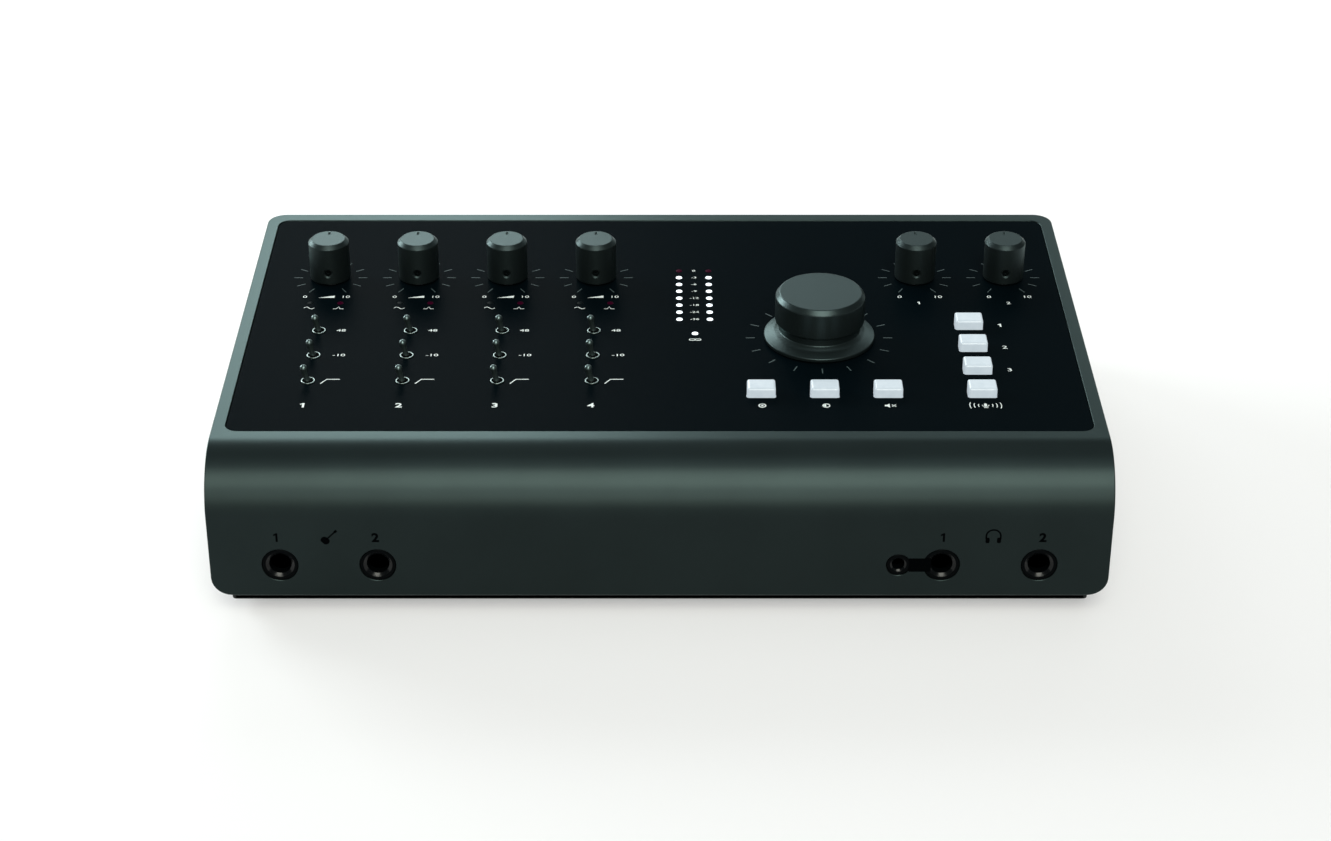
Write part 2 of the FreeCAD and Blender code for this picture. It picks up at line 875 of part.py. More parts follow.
def main_board():
    board = Piece("main_board_plate", node=False)
    plan = board.sketch(lift=main_under)
    low, high = front + S.tray_front + S.sheet_wall + S.board_gap, rear_inner - S.board_back_gap
    half = tray_side - S.sheet_wall - S.board_gap
    box(plan, 0, (low + high) / 2, half * 2, high - low, S.tray_round)
    board.pad(plan, S.board_thick)
    holes = board.sketch(lift=main_top)
    rings(holes, main_posts, S.screw_shank + S.hole_gap)
    board.pocket(holes)
    chips = Piece("main_board_chips", node=False)
    squares = chips.sketch(lift=main_top)
    for x, y, wide in CHIPS:
        box(squares, x, y, wide, wide)
    chips.pad(squares, CHIP_HIGH)
    cans = chips.sketch(lift=main_top)
    rings(cans, [(x, CAN_ROW) for x in CANS], CAN_RADIUS)
    chips.pad(cans, CAN_HIGH)
    keep("main_board", group("main_board_group", [board.body, chips.body]))


def board_standoffs():
    piece = Piece("board_standoffs")
    low = piece.sketch(lift=tray_floor)
    rings(low, main_posts, S.post_radius)
    piece.pad(low, S.main_rise)
    high = piece.sketch(lift=control_top)
    rings(high, control_posts, S.post_radius)
    piece.pad(high, plate_under - control_top)
    for places, level, deep in (
        (main_posts, main_under, S.main_rise), (control_posts, plate_under, plate_under - control_top),
    ):
        holes = piece.sketch(lift=level)
        rings(holes, places, S.screw_shank)
        piece.pocket(holes, deep)


def control_board():
    piece = Piece("control_board")
    plan = piece.sketch(lift=control_under)
    deep = S.control_end - S.control_start
    box(plan, 0, front + S.control_start + deep / 2, (side - S.control_inset) * 2, deep, S.tray_round)
    piece.pad(plan, S.board_thick)
    holes = piece.sketch(lift=control_top)
    rings(holes, control_posts, S.screw_shank + S.hole_gap)
    piece.pocket(holes)


def board_link():
    """Pin header that joins the two boards, in its two shrouds."""
    x, y = LINK_PLACE[0] - LINK_WIDE / 2, LINK_PLACE[1] - LINK_DEEP / 2
    shroud = S.shroud_high
    size = (LINK_WIDE, LINK_DEEP, shroud)
    low = block("link_low", (x, y, main_top), size)
    high = block("link_high", (x, y, control_under - shroud), size)
    inset = LINK_PIN_INSET
    pins = block("link_pins", (x + inset, y + inset, main_top + shroud),
                 (LINK_WIDE - inset * 2, LINK_DEEP - inset * 2, control_under - main_top - shroud * 2))
    keep("board_link", join("link_stack", [low, pins, high]))


def pot_housings():
    """Six potentiometers: body, threaded bush and nut, with a blind bore for the shaft."""
    piece = Piece("pot_housings")
    bodies = piece.sketch(lift=control_top)
    for x, y in pot_places:
        box(bodies, x, y, S.pot_side, S.pot_side)
    piece.pad(bodies, S.pot_body)
    bushes = piece.sketch(lift=control_top + S.pot_body)
    rings(bushes, pot_places, S.bush_radius)
    piece.pad(bushes, fascia_top + S.bush_top - control_top - S.pot_body)
    nuts = piece.sketch(lift=fascia_top)
    rings(nuts, pot_places, S.nut_radius)
    piece.pad(nuts, S.nut_thick)
    bores = piece.sketch(lift=fascia_top + S.bush_top)
    rings(bores, pot_places, S.shaft_radius + S.running_gap)
    piece.pocket(bores, fascia_top + S.bush_top - control_top - S.pot_floor)


def encoder_housing():
    piece = Piece("encoder_housing")
    body = piece.sketch(lift=control_top)
    box(body, dial_place[0], dial_place[1], S.encoder_side, S.encoder_side)
    piece.pad(body, S.pot_body)
    bush = piece.sketch(lift=control_top + S.pot_body)
    rings(bush, [dial_place], S.encoder_bush)
    piece.pad(bush, fascia_top + S.bush_top - control_top - S.pot_body)
    nut = piece.sketch(lift=fascia_top)
    rings(nut, [dial_place], S.encoder_nut)
    piece.pad(nut, S.nut_thick)
    bore = piece.sketch(lift=fascia_top + S.bush_top)
    rings(bore, [dial_place], S.shaft_radius + S.running_gap)
    piece.pocket(bore, fascia_top + S.bush_top - control_top - S.pot_floor)


def toggle_housings():
    """Twelve switch bodies, each open at the top where the lever's tail swings."""
    piece = Piece("toggle_housings")
    body = piece.sketch(lift=control_top)
    x, y = toggle_places[0]
    box(body, x, y, S.switch_side, S.switch_side)
    case = piece.pad(body, switch_top - control_top)
    well = piece.sketch(lift=switch_top)
    rings(well, [(x, y)], S.ball_radius + S.hole_gap)
    hollow = piece.pocket(well, switch_top - pivot_level + S.tail_length + S.tail_gap)
    toggle_grid(piece, [case, hollow])


def toggle_bushes():
    """Plated collars that stand just proud of the panel, cross-drilled for the levers' pins."""
    piece = Piece("toggle_bushes")
    x, y = toggle_places[0]
    plan = piece.sketch(lift=switch_top)
    rings(plan, [(x, y)], S.collar_radius)
    rings(plan, [(x, y)], S.collar_bore)
    collar = piece.pad(plan, fascia_top + S.collar_proud - switch_top)
    across = piece.sketch("XZ", lift=S.collar_radius - y)
    rings(across, [(x, pivot_level)], S.pivot_pin + S.running_gap)
    toggle_grid(piece, [collar, piece.pocket(across, S.collar_radius * 2)])


def button_switches():
    """Seven tact switches, each with a well for the button's stem."""
    piece = Piece("button_switches")
    bodies = piece.sketch(lift=control_top)
    for x, y in button_places:
        box(bodies, x, y, S.tact_side, S.tact_side)
    piece.pad(bodies, S.tact_height)
    wells = piece.sketch(lift=control_top + S.tact_height)
    rings(wells, button_places, S.stem_radius + S.hole_gap)
    piece.pocket(wells, S.button_travel + S.stem_reach + S.stem_gap)


def indicator_leds():
    """Lamps with their light pipes, from the board up to the panel."""
    piece = Piece("indicator_leds")
    for places in (meter_places, channel_lamps, [link_lamp]):
        plan = piece.sketch(lift=control_top)
        rings(plan, places, S.lamp_radius)
        piece.pad(plan, fascia_top + S.lamp_proud - control_top)


# Sockets


def jack_row(name, places, mouth, inward, sizes):
    """Sockets along X: nose ring, body and a blind bore with a bevelled mouth.

    mouth is the plane of the nose's end, and inward is 1 where the plug goes in along +Y.
    sizes holds the nose's radius, the nose's length, the bore's radius and depth, the mouth's
    bevel, and the body's width and underside.
    """
    nose, nose_run, bore, depth, bevel, wide, under = sizes
    piece = Piece(name)
    spots = [(x, jack_level) for x in places]
    ahead = inward > 0
    noses = piece.sketch("XZ", lift=-mouth)
    rings(noses, spots, nose)
    piece.pad(noses, nose_run, away=ahead)
    bodies = piece.sketch("XZ", lift=-mouth - nose_run * inward)
    for x, z in spots:
        box(bodies, x, z, wide, (jack_level - under) * 2)
    piece.pad(bodies, depth + S.jack_end - nose_run, away=ahead)
    bores = piece.sketch("XZ", lift=-mouth)
    rings(bores, spots, bore)
    piece.pocket(bores, depth, ahead=not ahead)
    rim = 2 * math.pi * bore.number
    piece.soften("Chamfer", bevel, lambda edge: near(edge.CenterOfMass.y, mouth) and near(edge.Length, rim))


def front_jacks():
    jack_row("front_jacks", front_jacks_x, front_mouth, 1, (
        S.jack_nose, nose_run, S.jack_bore, S.jack_depth, S.jack_mouth, S.jack_wide, main_top))


def headphone_mini_jack():
    jack_row("headphone_mini_jack", [mini_x], front_mouth, 1, (
        S.mini_nose, nose_run, S.mini_bore, S.mini_depth, S.mini_mouth, S.mini_nose * 2, main_top))


def line_out_jacks():
    jack_row("line_out_jacks", line_x, rear_mouth, -1, (
        S.jack_nose, rear_mouth - rear_inner + S.line_past, S.jack_bore, S.jack_depth, S.jack_mouth,
        S.jack_wide, main_top))


def combo_inputs():
    """Four microphone and jack sockets: ring gap for the plug's shell, three contacts, middle bore."""
    piece = Piece("combo_inputs")
    spots = [(x, combo_level) for x in channels]
    mouth = rear_outer + S.combo_proud
    bodies = piece.sketch("XZ", lift=-rear_inner)
    for x, z in spots:
        box(bodies, x, z, S.combo_wide, S.combo_high, S.combo_round)
    piece.pad(bodies, S.combo_depth)
    noses = piece.sketch("XZ", lift=-mouth)
    rings(noses, spots, S.combo_nose)
    piece.pad(noses, mouth - rear_inner)
    gaps = piece.sketch("XZ", lift=-mouth)
    rings(gaps, spots, S.combo_ring)
    rings(gaps, spots, S.combo_insert)
    piece.pocket(gaps, S.combo_ring_deep, ahead=True)
    bores = piece.sketch("XZ", lift=-mouth)
    rings(bores, spots, S.jack_bore)
    piece.pocket(bores, mouth - rear_inner + S.combo_depth - S.combo_end, ahead=True)
    contacts = piece.sketch("XZ", lift=-mouth)
    for turn in CONTACT_TURNS:
        across = S.contact_ring * math.cos(math.radians(turn))
        rise = S.contact_ring * math.sin(math.radians(turn))
        rings(contacts, [(x + across, z + rise) for x, z in spots], S.contact_radius)
    piece.pocket(contacts, S.contact_deep, ahead=True)
    screws = piece.sketch("XZ", lift=-rear_inner)
    rings(screws, combo_screws, S.screw_shank)
    piece.pocket(screws, S.combo_bite, ahead=True)


def optical_ports():
    """Two square sockets for optical plugs."""
    ports = []
    start = rear_outer + S.optical_proud
    depth = S.optical_deep
    run = depth + S.optical_end
    for i, x in enumerate(optical_x):
        body = block(f"optical_body_{i}", (x - S.optical_side / 2, start - run, main_top),
                     (S.optical_side, run, S.optical_side))
        hollow = block(f"optical_hollow_{i}",
                       (x - S.optical_port / 2, start - depth, optical_level - S.optical_port / 2),
                       (S.optical_port, depth + 1, S.optical_port))
        ports.append(carve(f"optical_port_{i}", body, hollow))
    keep("optical_ports", group("optical_pair", ports))


def usb_c_port():
    """Rounded metal mouth with its tongue."""
    piece = Piece("usb_c_port")
    wall, depth = S.usb_wall, S.usb_deep
    mouth = rear_outer + S.usb_proud
    shell = piece.sketch("XZ", lift=-mouth)
    box(shell, usb_x, usb_level, S.usb_wide, S.usb_high, S.usb_high / 2 - ROUND_SLACK)
    piece.pad(shell, depth + S.usb_end)
    hollow = piece.sketch("XZ", lift=-mouth)
    high = S.usb_high - wall * 2
    box(hollow, usb_x, usb_level, S.usb_wide - wall * 2, high, high / 2 - ROUND_SLACK)
    piece.pocket(hollow, depth, ahead=True)
    blade = piece.sketch("XZ", lift=depth - mouth)
    box(blade, usb_x, usb_level, S.usb_wide - S.usb_tongue_side * 2, S.usb_tongue)
    piece.pad(blade, depth - S.usb_tongue_short, away=True)


def rear_block(name, x, radius):
    """A square body behind the rear panel, with a round nose through it."""
    half = S.power_side / 2
    low = (x - half, rear_inner - S.power_run, main_top)
    body = block(f"{name}_body", low, (S.power_side, S.power_run, S.power_side))
    nose = rod(f"{name}_nose", radius, S.power_nose, (x, rear_inner, power_level), "Y")
    return join(f"{name}_block", [body, nose])


def power_inlet():
    """Round low-voltage inlet with its centre pin."""
    depth = S.power_deep
    floor = rear_inner + S.power_nose - depth
    hole = rod("power_hole", S.power_bore, depth + 1, (power_x, floor, power_level), "Y")
    pin = rod("power_pin", S.power_pin, depth, (power_x, floor - S.power_pin_sink, power_level), "Y")
    hollow = carve("power_hollow", rear_block("power", power_x, S.power_bore + S.power_rim), hole)
    keep("power_inlet", join("power_socket", [hollow, pin]))


def power_switch_housing():
    """Block behind the power button, bored for its travel."""
    depth = S.push_inside + S.push_travel + S.push_room
    floor = rear_inner + S.power_nose - depth
    hole = rod("switch_hole", S.push_radius + S.hole_gap, depth + 1, (switch_x, floor, power_level), "Y")
    body = rear_block("switch", switch_x, S.push_radius + S.power_rim)
    keep("power_switch_housing", carve("switch_case", body, hole))


# Moving pieces


def power_button():
    """Round push button that slides in its housing."""
    piece = Piece("power_button")
    plan = piece.sketch("XZ")
    rings(plan, [(0, 0)], S.push_radius)
    piece.pad(plan, S.push_inside)
    stub = piece.sketch("XZ")
    rings(stub, [(0, 0)], S.push_radius)
    piece.pad(stub, S.push_proud, away=True)
    piece.soften("Fillet", S.push_soft, lambda edge: near(edge.CenterOfMass.y, S.push_proud) and edge.Closed)
    piece.place(switch_x, rear_inner + S.power_nose, power_level)


def small_knob(name, place):
    """Turned knob with a skirt cavity over the nut, a pointer slot and a set-screw hole in front."""
    piece = Piece(name)
    profile = piece.sketch("XZ")
    bore, cavity = S.shaft_radius + S.shaft_fit, S.nut_radius + S.nut_gap
    roof, top = S.nut_thick + S.skirt_roof, S.shaft_top + S.shaft_end_gap
    outline(profile, [
        (cavity, S.knob_lift), (S.knob_radius, S.knob_lift),
        (S.knob_radius, S.knob_top - S.knob_bevel), (S.knob_radius - S.knob_bevel, S.knob_top),
        (0, S.knob_top), (0, top), (bore, top), (bore, roof), (cavity, roof),
    ])
    piece.turn(profile)
    slot = piece.sketch(lift=S.knob_top)
    box(slot, 0, (S.pointer_start + S.pointer_end) / 2, S.pointer_wide,
        S.pointer_end - S.pointer_start)
    piece.pocket(slot, S.pointer_deep)
    hole = piece.sketch("XZ")
    rings(hole, [(0, S.screw_height)], S.screw_radius)
    piece.pocket(hole, S.knob_radius + 1, ahead=True)
    piece.place(place[0], place[1], fascia_top)


def shaft(name, place, screw_radius, screw_height, screw_reach, turn=0):
    """Shaft with a flat towards the front, and the set screw that grips it, as two solids."""
    foot = control_top + S.pot_floor + S.shaft_foot_gap - fascia_top
    stem = Piece(f"{name}_stem", node=False)
    plan = stem.sketch(lift=foot)
    rings(plan, [(0, 0)], S.shaft_radius)
    stem.pad(plan, S.shaft_top - foot)
    flat = stem.sketch(lift=S.shaft_top)
    past = S.shaft_radius * 2
    box(flat, 0, -(S.shaft_flat + past) / 2, past, past - S.shaft_flat)
    stem.pocket(flat, S.shaft_top - S.bush_top - S.flat_clear)
    screw = Piece(f"{name}_screw", node=False)
    ring = screw.sketch("XZ", lift=S.shaft_flat)
    rings(ring, [(0, screw_height)], screw_radius)
    screw.pad(ring, screw_reach - S.shaft_flat)
    both = group(f"{name}_group", [stem.body, screw.body])
    both.Placement.Rotation = FreeCAD.Rotation(UPWARDS, turn)
    for axis, value in zip("xyz", (place[0], place[1], fascia_top)):
        bind(both, f"Placement.Base.{axis}", value)
    keep(name, both)


def volume_knob():
    """Large dial: thin flange, cone up to the neck, drum with a bevelled top, screw hole at the back."""
    piece = Piece("volume_knob")
    profile = piece.sketch("XZ")
    bore, cavity = S.shaft_radius + S.shaft_fit, S.encoder_nut + S.dial_nut_gap
    roof, top = S.nut_thick + S.skirt_roof, S.shaft_top + S.shaft_end_gap
    outline(profile, [
        (cavity, S.dial_rim_low), (S.dial_flange, S.dial_rim_low),
        (S.dial_flange, S.dial_rim_high),
        (S.dial_neck + S.dial_foot_out, S.dial_neck_low - S.dial_foot_drop),
        (S.dial_neck, S.dial_neck_low), (S.dial_neck, S.dial_neck_high),
        (S.dial_radius, S.dial_wall_low), (S.dial_radius, S.dial_wall_high),
        (S.dial_face, S.dial_top), (0, S.dial_top), (0, top),
        (bore, top), (bore, roof), (cavity, roof),
    ])
    piece.turn(profile)
    hole = piece.sketch("XZ")
    rings(hole, [(0, S.dial_screw_height)], S.dial_screw)
    piece.pocket(hole, S.dial_flange, ahead=True)
    piece.body.Placement.Rotation = FreeCAD.Rotation(UPWARDS, HALF_TURN)
    piece.place(dial_place[0], dial_place[1], fascia_top)


def toggle_lever(name, place):
    """Bat lever on its ball and cross pin, leaning left, with the tail that works the switch."""
    piece = Piece(name)
    profile = piece.sketch("XZ")
    tip = S.lever_length - S.lever_radius
    outline(profile, [
        (0, -S.tail_length), (S.tail_radius, -S.tail_length), (S.tail_radius, -S.ball_radius * BALL_TAIL),
        (S.ball_radius * BALL_ACROSS, -S.ball_radius * BALL_UP, (S.ball_radius, True)),
        (S.ball_radius * BALL_ACROSS, S.ball_radius * BALL_UP),
        (S.lever_neck, S.ball_radius), (S.lever_radius, tip, (S.lever_radius, True)),
        (0, S.lever_length),
    ])
    piece.turn(profile)
    pin = piece.sketch("XZ")
    rings(pin, [(0, 0)], S.pivot_pin)
    piece.pad(pin, S.pivot_pin_length, both=True)
    piece.body.Placement.Rotation = FreeCAD.Rotation(FreeCAD.Vector(0, -1, 0), SIZES["toggle_lean"])
    bind(piece.body, "Placement.Rotation.Angle", S.toggle_lean)
    piece.place(place[0], place[1], pivot_level)


def button_cap(name, place):
    """Cap with a rim held under the plate and a stem into its switch."""
    piece = Piece(name)
    foot, top = plate_under - S.button_sink, fascia_top + S.button_high
    cap = piece.sketch(lift=foot)
    box(cap, 0, 0, S.button_wide, S.button_deep, S.button_round)
    piece.pad(cap, top - foot)
    piece.soften("Fillet", S.button_soft, lambda edge: near(edge.CenterOfMass.z, top))
    rim = piece.sketch(lift=foot)
    box(rim, 0, 0, S.button_wide + S.button_rim * 2, S.button_deep + S.button_rim * 2, S.button_round)
    piece.pad(rim, S.rim_thick, away=True)
    stem = piece.sketch(lift=foot)
    rings(stem, [(0, 0)], S.stem_radius)
    piece.pad(stem, foot - (control_top + S.tact_height - S.stem_reach), away=True)
    piece.place(place[0], place[1], 0)


def build():
    wrap_shell()
    top_fascia()
    side_panel("side_panel_left", -1)
    side_panel("side_panel_right", 1)
    base_tray()
    rear_panel()
    rubber_feet()
    case_screws()
    main_board()
    board_standoffs()
    control_board()
    board_link()
    pot_housings()
    encoder_housing()
    toggle_housings()
    toggle_bushes()
    button_switches()
    indicator_leds()
    front_jacks()
    headphone_mini_jack()
    line_out_jacks()
    combo_inputs()
    optical_ports()
    usb_c_port()
    power_inlet()
    power_switch_housing()
    power_button()
    knob_screw = (S.screw_radius, S.screw_height, S.knob_radius - S.screw_sink)
    for i, place in enumerate(gain_places, start=1):
        small_knob(f"gain_knob_{i}", place)
        shaft(f"gain_shaft_{i}", place, *knob_screw)
    for i, place in enumerate(phones_places, start=1):
        small_knob(f"headphone_knob_{i}", place)
        shaft(f"headphone_shaft_{i}", place, *knob_screw)
    volume_knob()
    dial_screw = (S.dial_screw, S.dial_screw_height, S.dial_neck - S.screw_sink)
    shaft("encoder_shaft", dial_place, *dial_screw, turn=HALF_TURN)
    for i, place in enumerate(toggle_places):
        channel, row = divmod(i, TOGGLE_ROWS)
        toggle_lever(f"toggle_{channel + 1}_{ROW_NAMES[row]}", place)
    for i, place in enumerate(row_places, start=1):
        button_cap(f"row_button_{i}", place)
    for i, place in enumerate(column_places, start=1):
        button_cap(f"column_button_{i}", place)


def check():
    """Stop on a failed feature, or on a piece that is empty or not valid."""
    for item in doc.Objects:
        if {"Invalid", "Error"} & set(item.State):
            raise RuntimeError(f"{item.Name} did not recompute: {item.State}")
    for name, item in nodes.items():
        shape = item.Shape
        if shape.isNull() or not shape.isValid() or not shape.Solids:
            raise RuntimeError(f"{name} is not a valid solid")


def export():
    os.makedirs("parts", exist_ok=True)
    for name, item in nodes.items():
        item.Shape.exportStep(f"parts/{name}.step")
        print(f"{name}: {len(item.Shape.Solids)} solids, {item.Shape.Volume:.1f} mm3")


build()
doc.recompute()
check()
export()
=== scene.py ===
# A desktop audio interface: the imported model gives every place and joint, and the surfaces that show
# are remade here with soft edges, prints and finishes. Lengths are written in millimetres.

import math

import bmesh
import bpy
import numpy as np
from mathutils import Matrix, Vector
from mathutils.geometry import delaunay_2d_cdt


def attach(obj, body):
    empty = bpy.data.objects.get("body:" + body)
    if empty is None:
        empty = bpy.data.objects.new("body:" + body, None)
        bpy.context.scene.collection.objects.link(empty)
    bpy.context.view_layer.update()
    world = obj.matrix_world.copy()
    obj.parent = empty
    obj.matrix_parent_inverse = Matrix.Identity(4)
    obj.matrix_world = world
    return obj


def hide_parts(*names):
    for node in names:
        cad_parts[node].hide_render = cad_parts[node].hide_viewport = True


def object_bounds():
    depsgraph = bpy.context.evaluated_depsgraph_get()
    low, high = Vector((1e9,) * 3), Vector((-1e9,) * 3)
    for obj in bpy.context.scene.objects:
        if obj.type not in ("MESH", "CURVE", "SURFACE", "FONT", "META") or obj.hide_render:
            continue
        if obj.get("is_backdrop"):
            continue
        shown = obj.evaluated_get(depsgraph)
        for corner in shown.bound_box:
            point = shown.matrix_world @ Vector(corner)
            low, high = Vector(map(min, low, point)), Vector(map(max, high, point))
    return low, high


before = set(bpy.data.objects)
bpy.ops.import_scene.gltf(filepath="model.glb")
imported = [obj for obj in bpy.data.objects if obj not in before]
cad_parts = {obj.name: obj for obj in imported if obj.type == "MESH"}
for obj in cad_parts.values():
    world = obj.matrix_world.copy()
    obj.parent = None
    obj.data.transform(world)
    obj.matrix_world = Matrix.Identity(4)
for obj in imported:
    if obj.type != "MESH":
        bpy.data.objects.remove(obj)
cad_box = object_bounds()

MM = 0.001
WELD = 1e-4

# Shell
FRONT, BACK, SIDE = -84.75, 84.75, 134.0
TOP, WALL, NOSE, SKIRT = 52.0, 3.0, 17.7, 7.5
SHELL_CORNER = 6.0
SHELL_RIM = 0.35
# The front of the shell stands this far back, which leaves room for its print
SKIN = 0.03
# Black panel
PANEL = 51.8
PANEL_WIDE, PANEL_CORNER = 259.7, 3.85
PANEL_LOW, PANEL_HIGH = -63.0, 79.8
# Control places
CHANNELS = [-108.3, -79.17, -50.04, -20.91]
PHONES = [83.87, 112.92]
KNOB_Y = 37.35
DIAL = (50.4, -4.35)
TOGGLES = {"low": -32.35, "mid": -16.02, "top": 0.31}
BUTTON_WIDE, BUTTON_DEEP, BUTTON_CORNER = 8.65, 6.4, 0.7
ROW_BUTTONS = [(31.0, -39.45), (50.4, -39.45), (69.8, -39.45)]
COLUMN_BUTTONS = [(98.5, -39.45 + 14.63 * i) for i in range(4)]
COLLAR, COLLAR_BORE, LAMP_RADIUS = 2.15, 1.8, 1.0
METER_X, METER_HALF = 11.2, 4.87
METER_YS = [8.25 + 4.87 * i for i in range(8)]
METER_LAMPS = [(METER_X + METER_HALF * hand, y) for hand in (-1, 1) for y in METER_YS]
LINK_LAMP = (11.2, -1.35)
CHANNEL_LAMP_Y, CHANNEL_LAMP_HALF = 19.45, 4.9
# Knobs and levers, with heights above the black panel, but the lever's pivot above the ground
KNOB_RADIUS, KNOB_HIGH, SET_SCREW_HIGH, SHAFT_BORE = 6.6, 14.4, 4.7, 3.02
LEVER_PIVOT, LEVER_LEAN = 51.0, 11
# Sockets
JACK_Z = 18.3
FRONT_JACKS = [-113.0, -83.9, 83.87, 112.92]
MINI_X, JACK_NOSE = 71.0, 5.3
LINE_OUTS = [56.8, 39.2, 21.6, 4.0]
OPTICALS = [76.0, 88.4]
COMBO_RADIUS = 12
# Each microphone socket's x, and how far its screw stands off from the middle, both across and up
COMBO_SCREWS = [(x, 10.6 * hand) for x in CHANNELS for hand in (-1, 1)]
CONTACT_CIRCLE = 5.7
COMBO_Z, OPTICAL_Z, USB_Z, POWER_Z = 26.6, 17.0, 13.73, 16.7
USB_X, POWER_X, SWITCH_X = 100.6, 110.4, 121.0
# Case behind the shell
REAR, SHEET = 78.75, 1.5
TRAY_SIDE, TRAY_FRONT, TRAY_LOW, TRAY_HIGH, TRAY_CORNER = 129.0, -79.85, 3.0, 12.0, 1.2
CHEEK, CHEEK_BACK, UNDER = 130.5, 83.75, 49.0
FEET = [(-112.0, -62.75), (112.0, -62.75), (-112.0, 56.75), (112.0, 56.75)]
GAP = 0.15
# Screws as (y, z) in the cheeks, as (x, y) on the main board and under the control board
CHEEK_SCREWS = [(-68.75, 9.5), (-6.75, 9.5), (53.25, 9.5), (72.25, 20.0), (72.25, 41.0)]
MAIN_SCREWS = [(x, y) for x in (-117.0, 0.2, 117.0) for y in (-34.75, 45.25)]
MAIN_SCREW_Z, CONTROL_SCREW_Z = 12.1, 36.4
CONTROL_SCREWS = [(x, y) for x in (-117.0, -5.8, 117.0) for y in (-44.75, 23.25)]

# Rows of print on the black panel
SCALE_ROW, PHONE_ROW, SIGN_ROW = FRONT + 108.5, FRONT + 104.15, FRONT + 100.7
LINK_ROW, CHANNEL_ROW, BUTTON_ROW = FRONT + 79.2, FRONT + 37.3, FRONT + 37.1
# Ink stands this far off its ground
INK = 0.02
# Creases sharper than this many degrees stay sharp
SHARP = 38


# Shapes


def placed(name, data):
    """A new object in the scene."""
    item = bpy.data.objects.new(name, data)
    bpy.context.scene.collection.objects.link(item)
    return item


class Form:
    """Patches of surface, in millimetres, that are welded into one mesh."""

    def __init__(self):
        self.points, self.faces, self.total = [], [], 0

    def add(self, points, faces):
        """Take points (n, 3) and the faces (m, 3 or 4) that index them."""
        points = np.asarray(points, float).reshape(-1, 3)
        faces = np.asarray(faces, int)
        if faces.shape[1] == 3:
            faces = faces[:, [0, 1, 2, 2]]
        self.points.append(points)
        self.faces.append(faces + self.total)
        self.total += len(points)

    def grid(self, points, wrap=False):
        """Skin a grid (rows, columns, 3) of points; wrap joins its last column to its first."""
        rows, columns = points.shape[:2]
        i = np.arange(rows - 1)[:, None]
        j = np.arange(columns if wrap else columns - 1)[None, :]
        k = (j + 1) % columns
        corners = [i * columns + j, i * columns + k, (i + 1) * columns + k, (i + 1) * columns + j]
        self.add(points, np.stack(corners, -1).reshape(-1, 4))

    def fan(self, loop, middle):
        """Close a loop of points (n, 3) with triangles that meet in the middle."""
        self.grid(np.stack([loop, np.broadcast_to(middle, loop.shape)]), wrap=True)

    def whole(self):
        """All points and all faces so far."""
        return np.concatenate(self.points), np.concatenate(self.faces)

    def copies(self, places, towards="up"):
        """The same patches turned to face one way, at each (x, y, z)."""
        points, faces = self.whole()
        many = Form()
        for place in places:
            many.add(aimed(points, towards, place), faces)
        return many

    def made(self, name, finish, slot, nodes=(), body="case"):
        """One object with its finish, riding on a body in place of those nodes: faces outwards, and
        smooth but for its sharp edges."""
        points, faces = self.whole()
        keys = np.round(points / WELD).astype(np.int64)
        _, first, spot = np.unique(keys, axis=0, return_index=True, return_inverse=True)
        points, faces = points[first], spot.reshape(-1)[faces]
        same = faces == np.roll(faces, -1, axis=1)
        count = same.sum(1)
        quads = faces[count == 0].tolist()
        threes = faces[count == 1][~same[count == 1]].reshape(-1, 3).tolist()
        mesh = bpy.data.meshes.new(name)
        mesh.from_pydata((points * MM).tolist(), [], quads + threes)
        mesh.validate()
        work = bmesh.new()
        work.from_mesh(mesh)
        bmesh.ops.remove_doubles(work, verts=work.verts, dist=WELD * MM * 3)
        bmesh.ops.recalc_face_normals(work, faces=work.faces)
        work.to_mesh(mesh)
        work.free()
        mesh.shade_smooth()
        mesh.set_sharp_from_angle(angle=math.radians(SHARP))
        mesh.materials.append(finish)
        piece = placed(name, mesh)
        piece.modifiers.new("flatness", "WEIGHTED_NORMAL").keep_sharp = True
        if nodes:
            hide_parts(*nodes)
        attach(piece, body)


def contour(corners, steps=4):
    """A line through corners (a, b) or (a, b, soft): a soft corner is a parabola that leaves and
    joins its two sides that far from the corner."""
    spots = [np.array(corner[:2], float) for corner in corners]
    line = []
    for i, corner in enumerate(corners):
        if len(corner) == 2:
            line.append(spots[i])
            continue
        here, sides = spots[i], (spots[i - 1], spots[i + 1])
        start, end = [here + (far - here) * corner[2] / np.linalg.norm(far - here) for far in sides]
        t = np.linspace(0, 1, steps + 1)[:, None]
        line.extend((1 - t) ** 2 * start + 2 * t * (1 - t) * here + t ** 2 * end)
    return np.array(line)


AXES = {
    "up": ((1, 0, 0), (0, 1, 0), (0, 0, 1)),
    "front": ((1, 0, 0), (0, 0, 1), (0, -1, 0)),
    "back": ((-1, 0, 0), (0, 0, 1), (0, 1, 0)),
    "left": ((0, -1, 0), (0, 0, 1), (-1, 0, 0)),
    "right": ((0, 1, 0), (0, 0, 1), (1, 0, 0)),
    "down": ((-1, 0, 0), (0, 1, 0), (0, 0, -1)),
}


def aimed(points, towards="up", place=(0, 0, 0)):
    """Local points (across, up, out) turned so that out faces one way, then moved to a place."""
    return np.asarray(points, float) @ np.array(AXES[towards], float) + np.array(place, float)


def compass(angle):
    """Unit steps (cosine, sine) at each angle."""
    return np.stack([np.cos(angle), np.sin(angle)], -1)


def ring(x, y, radius, steps=48):
    """A circle as a function of how far it has grown."""
    spokes = compass(np.linspace(0, 2 * math.pi, steps, endpoint=False))
    return lambda grow: np.array([x, y]) + (radius + grow) * spokes


